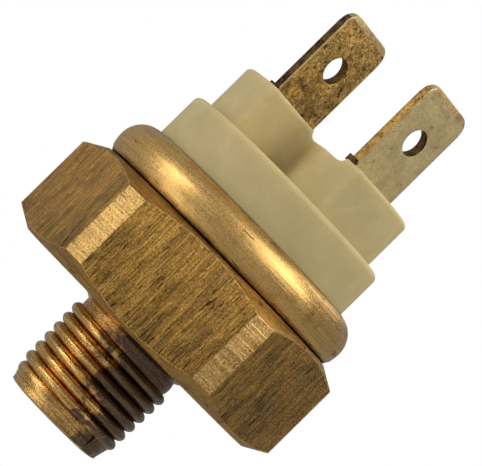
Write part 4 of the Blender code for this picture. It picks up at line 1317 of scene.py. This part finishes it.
@dataclass
class Blade:
    """A flat tab terminal, stamped from brass strip, with its foot turned in under the base."""

    side: Side
    face: Finish
    edge: Finish
    width: float = 6.3 * MM
    thickness: float = 0.8 * MM
    corner: float = 1.15 * MM       # rounding of the tip's corners
    bevel: float = 0.18 * MM
    hole_edge: float = 0.05 * MM
    hole: float = 1.15 * MM         # radius of the eye
    hole_drop: float = 4.15 * MM    # from the tip
    foot_width: float = 3.6 * MM
    foot_end: float = 2.0 * MM      # from the blade's middle plane
    foot_top: float = 1.9 * MM      # height where the foot starts to widen
    foot_wide: float = 2.7 * MM     # height where it has the blade's width
    stagger: float = 0.67 * MM
    contact_in: float = 0.85 * MM
    shank_hole: float = 0.75 * MM
    lug_reach: float = 0.42 * MM    # how far the staking lug stands out
    lug_height: float = 0.55 * MM
    lug_half: float = 0.36 * MM     # half of its thickness
    lug_root: float = 0.6 * MM      # how far it reaches into the blade
    lug_sunk: float = 0.04 * MM
    coined: float = 0.13 * MM       # how far the tip is pressed thinner on each face
    coined_start: float = 0.35      # share of that at the lower end of the corners
    tip_gap: float = 0.15 * MM      # between the last full section and the first coined one
    tip_land: float = 0.5 * MM      # height of the coined border at the tip
    bend_steps: int = 10
    straight_steps: int = 8
    tip_steps: int = 11

    def section(self, middle: Vector, lean: float, width: float, thickness: float) -> list[Vector]:
        """One cross-section of the bent strip, with rounded corners.

        Args:
            middle: The section's middle.
            lean: The strip's direction above X, in radians.
            width: The strip's width.
            thickness: The strip's thickness.

        Returns:
            The section's points.
        """
        normal = Vector((-math.sin(lean), 0.0, math.cos(lean)))
        radius = min(self.bevel, thickness * 0.45)
        corners = [(width / 2, thickness / 2), (-width / 2, thickness / 2),
                   (-width / 2, -thickness / 2), (width / 2, -thickness / 2)]
        outline = rounded_outline([(y, out, radius) for y, out in corners], 3)
        return [middle + Vector((0.0, y, 0.0)) + normal * out for y, out in outline]

    def strip(self, tip: float) -> bmesh.types.BMesh:
        """Bend the strip: foot, bend, upright and tip, as a row of cross-sections.

        Args:
            tip: The height of the tip above the foot's underside.

        Returns:
            The strip, which stands over the origin.
        """
        bend = self.thickness
        sections = [self.section(Vector((x, 0.0, bend / 2)), 0.0, self.foot_width, self.thickness)
                    for x in (-self.foot_end, -bend)]
        for step in range(1, self.bend_steps + 1):
            lean = math.radians(90 * step / self.bend_steps)
            middle = Vector((-bend + bend * math.sin(lean), 0.0, bend / 2 + bend * (1 - math.cos(lean))))
            sections.append(self.section(middle, lean, self.foot_width, self.thickness))
        upright = [(self.foot_top, self.foot_width, self.thickness),
                   (self.foot_wide, self.width, self.thickness)]
        stretch = tip - self.corner - self.tip_gap - self.foot_wide
        for step in range(1, self.straight_steps + 1):
            height = self.foot_wide + stretch * step / self.straight_steps
            upright.append((height, self.width, self.thickness))
        for step in range(self.tip_steps + 1):
            share = step / self.tip_steps
            turn = math.radians(90 * share)
            pressed = self.coined * (self.coined_start + (1 - self.coined_start) * share ** 2)
            upright.append((tip - self.corner * (1 - math.sin(turn)),
                            self.width - 2 * self.corner * (1 - math.cos(turn)),
                            self.thickness - 2 * pressed))
        for height, width, thickness in upright:
            sections.append(self.section(Vector((0.0, 0.0, height)), math.radians(90), width, thickness))
        return loft(sections)

    def lug(self, base_top: float) -> bmesh.types.BMesh:
        """The staking lug, on the edge that ends up towards -Y.

        Args:
            base_top: The height of the base's top above the foot's underside.

        Returns:
            The lug.
        """
        outward = -self.side.value
        edge = self.width / 2 * outward
        low_y, high_y = sorted((edge + self.lug_reach * outward, edge - self.lug_root * outward))
        return block(Vector((-self.lug_half, low_y, base_top - self.lug_sunk)),
                     Vector((self.lug_half, high_y, base_top + self.lug_height)))

    def build(self, base_top: float) -> bpy.types.Object:
        """Stamp and bend the blade.

        Args:
            base_top: The height of the base's top, where the staking lug lies.

        Returns:
            The finished piece.
        """
        node = f"blade_terminal_{self.side.name.lower()}"
        low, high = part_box(node)
        tip = high.z - low.z
        work = Workpiece(f"{node}_visual", self.strip(tip))
        through = (-2 * MM, 2 * MM)
        eye = [(y, tip - self.hole_drop + z) for y, z, _ in circle(self.hole, 0.0, 48)]
        work.combine(Operation.CUT, loft([[Vector((x, y, z)) for y, z in eye] for x in through]))
        shank = [(x - self.contact_in, y - self.stagger) for x, y, _ in circle(self.shank_hole, 0.0, 32)]
        work.combine(Operation.CUT, prism(shank, -MM, 2 * MM))
        work.soften(self.hole_edge, angle=50.0)
        work.combine(Operation.JOIN, self.lug(base_top - low.z))
        half_turn = 0.0 if self.side is Side.RIGHT else math.pi
        outer = high.x if self.side is Side.RIGHT else low.x
        middle = Vector((outer - self.side.value * self.thickness / 2, (low.y + high.y) / 2, low.z))
        work.place(Matrix.Translation(middle) @ Matrix.Rotation(half_turn, 4, "Z"))
        eye_at = Vector(((low.y + high.y) / 2, high.z - self.hole_drop))

        def finish_of(centre: Vector, normal: Vector) -> Finish:
            """Say which finish a face has: dark on the lug, painted shade in the eye, and coined at the
            borders.

            Args:
                centre: The face's centre.
                normal: Its normal.

            Returns:
                The finish.
            """
            if centre.z < base_top + self.lug_height + HAIR / 2 and centre.y < low.y + self.lug_reach:
                return DARK_EDGE_AND_SHADE
            # The eye's wall is painted dark as shade.
            if abs(normal.x) < 0.5 and (Vector(centre.yz) - eye_at).length < self.hole + HAIR:
                return DARK_EDGE_AND_SHADE
            if normal.y < -0.2:
                return self.edge if normal.y < -0.85 else COINED
            return COINED if centre.z > high.z - self.tip_land or normal.y > 0.3 else self.face

        finishes = list(dict.fromkeys([self.face, self.edge, COINED, DARK_EDGE_AND_SHADE]))
        return settle(work.dress(finishes, finish_of, crease=40.0), "switch_body", node)


@dataclass
class TurnedPiece:
    """A small piece that is a body of revolution: a seal, washer, plate, rivet or pin."""

    node: str
    body: str
    profile: Sequence[Point2]       # (r, z) in millimetres from the node's lower edge
    finish: Finish
    hollow: bool = False
    edge: float = 0.05 * MM
    facets: int = 96

    def build(self) -> bpy.types.Object:
        """Turn the piece at its node's place.

        Returns:
            The finished piece.
        """
        low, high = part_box(self.node)
        points = [(radius * MM, height * MM) for radius, height in self.profile]
        mesh = turned_ring(points, self.facets) if self.hollow else turned_solid(points, self.facets)
        work = Workpiece(f"{self.node}_visual", mesh).soften(self.edge, angle=35.0)
        work.place(Matrix.Translation(((low.x + high.x) / 2, (low.y + high.y) / 2, low.z)))
        return settle(work.dress([self.finish]), self.body, self.node)


def rivet(shank: float, flipped: bool) -> list[Point2]:
    """The outline of a contact rivet in millimetres.

    Args:
        shank: The length of its shank.
        flipped: True puts the domed face on top.

    Returns:
        The outline's (r, z) points from the lower edge.
    """
    head, radius, rise, pin, steps = 0.6, 1.0, 0.15, 0.5, 8
    turns = [math.radians(90 * step / steps) for step in range(1, steps + 1)]
    points = [(radius * math.sin(turn), rise * (1 - math.cos(turn))) for turn in turns]
    points += [(radius, head), (pin, head), (pin, head + shank)]
    if flipped:
        return [(out, head + shank - height) for out, height in reversed(points)]
    return points


@dataclass
class Diaphragm:
    """The thin dished disc that the pressure lifts."""

    crown: float = 4.5 * MM         # radius of its flat middle
    foot: float = 5.95 * MM         # radius where the dish ends
    thickness: float = 0.25 * MM
    steps: int = 10

    def build(self) -> bpy.types.Object:
        """Form the disc in its design node's place.

        Returns:
            The finished piece.
        """
        low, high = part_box("diaphragm")
        dish = high.z - low.z - self.thickness
        slope = []
        for step in range(self.steps + 1):
            share = step / self.steps
            fall = 0.5 + 0.5 * math.cos(math.pi * share)
            slope.append((self.crown + (self.foot - self.crown) * share, low.z + dish * fall))
        under = slope + [(high.x, low.z)]
        over = [(radius, height + self.thickness) for radius, height in reversed(under)]
        work = Workpiece("diaphragm_visual", turned_solid(under + over, 96))
        piece = work.dress([FILM])
        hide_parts("diaphragm")
        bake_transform(piece)
        log.info("%s bends between the body and the plate", piece.name)
        return piece


@dataclass
class SetSpring:
    """The coil spring that sets the switching pressure, with closed and ground ends."""

    radius: float = 1.7 * MM
    wire: float = 0.2 * MM          # its radius
    turns: float = 6.5
    closed_rise: float = 2.3        # what a closed turn rises, over the wire's radius
    steps: int = 40                 # to a turn
    wire_facets: int = 14

    def build(self) -> bpy.types.Object:
        """Wind the spring in its design node's place.

        Returns:
            The finished piece.
        """
        low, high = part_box("set_spring")
        height = high.z - low.z - 2 * self.wire
        dead = self.closed_rise * self.wire
        active = (height - 2 * dead) / (self.turns - 2)
        loops = []
        for index in range(int(self.turns * self.steps) + 1):
            turn = index / self.steps
            closed = min(turn, 1) + max(turn - self.turns + 1, 0)
            rise = dead * closed + active * (turn - closed)
            angle = 2 * math.pi * turn
            outward = Vector((math.cos(angle), math.sin(angle), 0.0))
            middle = outward * self.radius + Vector((0.0, 0.0, low.z + self.wire + rise))
            loops.append([middle + outward * point.x + Vector((0.0, 0.0, point.y))
                          for point in circle(self.wire, 0.0, self.wire_facets)])
        piece = Workpiece("set_spring_visual", loft(loops)).dress([SPRING_WIRE])
        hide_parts("set_spring")
        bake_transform(piece)
        log.info("%s shortens between the body and the bridge", piece.name)
        return piece


@dataclass
class ContactBridge:
    """The bronze strip that joins the two blades when it is lifted."""

    thickness: float = 0.5 * MM
    half: float = 2.0 * MM          # half of its width in the middle
    middle: float = 1.875 * MM      # x where it starts to narrow
    contact: float = 3.95 * MM      # x of the contacts
    end: float = 5.1 * MM
    tip_hole: float = 1.25 * MM
    shank_hole: float = 0.75 * MM
    edge: float = 0.08 * MM

    def build(self) -> bpy.types.Object:
        """Stamp the strip.

        Returns:
            The finished piece.
        """
        low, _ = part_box("contact_bridge")
        quarter = [(self.middle, self.half, 0.5 * MM), (self.contact, 0.8 * self.half, 0.6 * MM),
                   (self.end, 0.5 * self.half, 0.4 * MM)]
        back = quarter[::-1]
        outline = [(x, -y, r) for x, y, r in quarter] + back
        outline += [(-x, y, r) for x, y, r in quarter] + [(-x, -y, r) for x, y, r in back]
        strip = prism(rounded_outline(outline, 4), low.z, low.z + self.thickness)
        work = Workpiece("contact_bridge_visual", strip)
        holes = ((-self.contact, self.shank_hole), (0.0, self.tip_hole), (self.contact, self.shank_hole))
        for x, radius in holes:
            hole = [(x + point.x, point.y) for point in circle(radius, 0.0, 40)]
            work.combine(Operation.CUT, prism(hole, low.z - MM, low.z + MM))
        work.soften(self.edge, angle=50.0)
        return settle(work.dress([BRONZE]), "contact_bridge", "contact_bridge")


@dataclass
class SetScrew:
    """The slotted brass screw, between the lobes, that presses on the spring's cap."""

    radius: float = 1.5 * MM
    pitch: float = 0.5 * MM
    depth: float = 0.14 * MM        # of the grooves
    chamfer: float = 0.3 * MM
    first: float = 0.35 * MM        # height of the first groove
    plain: float = 0.8 * MM         # length that holds no groove
    slot_half: float = 0.3 * MM
    slot_depth: float = 0.9 * MM
    edge: float = 0.05 * MM

    def build(self) -> bpy.types.Object:
        """Cut the screw's fine grooves, its chamfers and its slot.

        Returns:
            The finished piece.
        """
        low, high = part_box("set_screw")
        length = high.z - low.z
        root, narrow = self.radius - self.depth, self.radius - self.chamfer
        points = [(narrow, 0.0), (self.radius, self.chamfer)]
        for index in range(int((length - self.plain) / self.pitch)):
            start = self.first + index * self.pitch
            for radius, share in ((root, 0.3), (self.radius, 0.6), (self.radius, 0.85)):
                points.append((radius, start + share * self.pitch))
        points += [(self.radius, length - self.chamfer), (narrow, length)]
        work = Workpiece("set_screw_visual", turned_solid(points, 64))
        reach = 2 * self.radius
        work.combine(Operation.CUT, block(Vector((-reach, -self.slot_half, length - self.slot_depth)),
                                          Vector((reach, self.slot_half, length + MM))))
        work.soften(self.edge, angle=50.0).place(Matrix.Translation((0.0, 0.0, low.z)))
        return settle(work.dress([TURNED]), "set_screw", "set_screw")


def cord(middle: float, radius: float) -> list[Point2]:
    """The section of a round sealing cord in millimetres, which rests on height 0."""
    return arc((middle, radius), (radius, radius), 0, 360, 24)[:-1]


def band(inner: float, outer: float, height: float) -> list[Point2]:
    """The section of a flat ring in millimetres, which rests on height 0."""
    return [(inner, 0.0), (outer, 0.0), (outer, height), (inner, height)]


def small_pieces() -> list[TurnedPiece]:
    """List the pieces inside the switch that are turned, pressed or moulded round.

    Returns:
        The pieces, from the port up.
    """
    plate = 0.8
    pieces = [
        TurnedPiece("diaphragm_seal", "switch_body", cord(7.2, 0.6), NITRILE, hollow=True),
        TurnedPiece("base_seal", "switch_body", cord(8.33, 0.42), NITRILE, hollow=True),
        TurnedPiece("clamp_ring", "switch_body", band(6.2, 8.75, 0.8), STEEL, hollow=True, edge=0.12 * MM),
        TurnedPiece("pressure_plate", "pressure_plate",
                    [(4.5, 0.0), (5.2, plate / 3), (5.2, plate * 5 / 6), (5.2 - plate / 6, plate)], BORED),
        TurnedPiece("plunger_guide", "switch_body",
                    [(7.4, 0.0), (8.75, 0.0), (8.75, 2.35), (2.25, 2.35), (2.25, 1.35), (7.4, 1.35)],
                    PHENOLIC, hollow=True),
        TurnedPiece("plunger", "plunger",
                    [(1.75, 0.0), (2.0, 0.25), (2.0, 2.05), (1.0, 2.05), (1.0, 3.6), (0.75, 3.85)],
                    RED_FIBRE),
        TurnedPiece("spring_seat", "contact_bridge", band(1.25, 2.2, 0.4), STEEL, hollow=True,
                    edge=0.08 * MM),
        TurnedPiece("spring_cap", "spring_cap", [(2.2, 0.0), (2.2, 0.5)], STEEL, edge=0.1 * MM)]
    for side in Side:
        name = side.name.lower()
        pieces.append(TurnedPiece(f"fixed_contact_{name}", "switch_body", rivet(1.05, False), SILVER,
                                  facets=48))
        pieces.append(TurnedPiece(f"moving_contact_{name}", "contact_bridge", rivet(1.0, True), SILVER,
                                  facets=48))
    return pieces


# ---------------------------------------------------------------------------------------------
# Studio


@dataclass
class Studio:
    """The pale floor, the soft light and the camera."""

    heading: Vector = Vector((0.656, -0.755, 0.0))
    distance: float = 265 * MM
    eye: float = 2.7 * MM
    aim: float = 11.3 * MM
    lean: float = math.radians(44.5)
    focal: float = 261.0        # in mm, as the sensor
    sensor: float = 36.0
    floor: float = -0.45        # metres, from the switch down
    floor_half: float = 3.0     # metres
    floor_glow: float = 0.75    # what the camera sees added to the floor's own light
    fibres: float = 300.0       # mottles across the floor's paper
    dim_side: tuple[float, float, float] = (0.1, 1.0, 0.0)
    room: Point2 = (0.44, 0.25)     # how bright the room is opposite its dim side, and on it
    reach: float = 0.3          # from the switch to its soft boxes
    lamp: str = "#FFF8EA"
    walls: str = "#FFFCF4"
    background: str = "#FFFFFF"

    def camera(self) -> None:
        """Set the camera, rolled so that the switch leans to the upper right."""
        heading = self.heading.normalized()
        place = heading * self.distance + Vector((0.0, 0.0, self.eye))
        forward = (Vector((0.0, 0.0, self.aim)) - place).normalized()
        right = forward.cross(Vector((0.0, 0.0, 1.0))).normalized()
        up = right.cross(forward)
        rolled_right = right * math.sin(self.lean) + up * math.cos(self.lean)
        rolled_up = up * math.sin(self.lean) - right * math.cos(self.lean)
        data = bpy.data.cameras.new("camera")
        data.lens = self.focal
        data.sensor_width = self.sensor
        data.clip_start = 0.01
        data.clip_end = 10.0
        thing = bpy.data.objects.new("camera", data)
        turned = Matrix((rolled_right, rolled_up, -forward)).transposed()
        thing.matrix_world = Matrix.Translation(place) @ turned.to_4x4()
        bpy.context.scene.collection.objects.link(thing)
        bpy.context.scene.camera = thing

    def card(self, name: str, turn: float, rise: float, size: Point2, glow: float) -> None:
        """Hang a soft box round the switch.

        Args:
            name: The light's name.
            turn: Degrees round the axis from the camera, positive to the right.
            rise: Degrees above the floor.
            size: Its width and height in metres.
            glow: How bright its face is.
        """
        data = bpy.data.lights.new(name, "AREA")
        data.shape = "RECTANGLE"
        data.size, data.size_y = size
        data.energy = glow * math.pi * size[0] * size[1]
        data.color = srgb(self.lamp)[:3]
        thing = bpy.data.objects.new(name, data)
        start = math.atan2(self.heading.y, self.heading.x)
        angle = start + math.radians(turn)
        level = math.cos(math.radians(rise))
        towards = Vector((level * math.cos(angle), level * math.sin(angle), math.sin(math.radians(rise))))
        thing.location = towards * self.reach + Vector((0.0, 0.0, self.aim))
        thing.rotation_mode = "QUATERNION"
        thing.rotation_quaternion = towards.to_track_quat("Z", "Y")
        thing.visible_camera = False
        bpy.context.scene.collection.objects.link(thing)

    def world(self) -> None:
        """Fill the room with a dim warm light, behind a white backdrop."""
        world = bpy.data.worlds.new("room")
        world.use_nodes = True
        bpy.context.scene.world = world
        graph = Graph(world.node_tree)
        way = graph.add("TexCoord", output="Generated")
        across = graph.add("VectorMath", {0: way, 1: self.dim_side}, output="Value", operation="DOT_PRODUCT")
        bright, dim = self.room
        strength = graph.add("MapRange", {"Value": across, 1: -1.0, 2: 1.0, 3: bright, 4: dim})
        room = graph.add("Background", {"Color": srgb(self.walls), "Strength": strength})
        backdrop = graph.add("Background", {"Color": srgb(self.background), "Strength": 1.0})
        seen = graph.add("LightPath", output="Is Camera Ray")
        both = graph.add("MixShader", {0: seen, 1: room, 2: backdrop})
        graph.add("OutputWorld", {"Surface": both})

    def ground(self) -> None:
        """Lay the pale floor, far enough down that it throws nothing back onto the switch."""
        data = bpy.data.meshes.new("floor")
        half, thickness = self.floor_half, 10 * MM
        mesh = block(Vector((-half, -half, self.floor - thickness)), Vector((half, half, self.floor)))
        mesh.to_mesh(data)
        mesh.free()
        pale = bpy.data.materials.new("floor_paper")
        pale.use_nodes = True
        graph = Graph(pale.node_tree)
        fibres = graph.add("TexNoise", {"Scale": self.fibres, "Detail": 3.0})
        tone = graph.add("MapRange", {"Value": fibres, **NOISE_SPREAD, 3: 0.97, 4: 1.0})
        colour = graph.add("VectorMath", {0: srgb("#FBFBF9")[:3], 3: tone}, operation="SCALE")
        seen = graph.add("LightPath", output="Is Camera Ray")
        glow = graph.add("Math", {0: seen, 1: self.floor_glow}, operation="MULTIPLY")
        paper = graph.add("BsdfPrincipled", {
            "Base Color": colour, "Roughness": 0.9, "Emission Color": srgb(self.background),
            "Emission Strength": glow})
        graph.add("OutputMaterial", {"Surface": paper})
        data.materials.append(pale)
        thing = bpy.data.objects.new("floor", data)
        bpy.context.scene.collection.objects.link(thing)

    def build(self) -> None:
        """Set up the whole studio."""
        bpy.context.scene.view_settings.view_transform = "Standard"
        self.camera()
        self.world()
        self.ground()
        self.card("key_left", turn=-68.0, rise=17.0, size=(0.08, 0.22), glow=3.9)
        self.card("fill_front", turn=52.0, rise=50.0, size=(0.26, 0.26), glow=1.7)
        self.card("rim_right", turn=66.0, rise=50.0, size=(0.08, 0.14), glow=2.2)
        self.card("low_left", turn=-58.0, rise=-30.0, size=(0.12, 0.12), glow=2.0)
        self.card("rim_back", turn=158.0, rise=50.0, size=(0.16, 0.16), glow=2.0)
        log.info("studio is lit")


def main() -> None:
    """Build the switch from the outside in, then the studio."""
    logging.basicConfig(level=logging.INFO, format="%(name)s: %(message)s")
    body = BrassBody()
    base = TerminalBase()
    body.build()
    CrimpRing().build(base.lower, body.neck)
    base.build()
    Blade(Side.LEFT, BLADE_LEFT, DARK_EDGE_AND_SHADE).build(base.top)
    Blade(Side.RIGHT, BLADE_RIGHT, SHEARED_BRIGHT).build(base.top)
    SetScrew().build()
    SetSpring().build()
    Diaphragm().build()
    ContactBridge().build()
    for piece in small_pieces():
        piece.build()
    Studio().build()


if __name__ == "__main__":
    main()
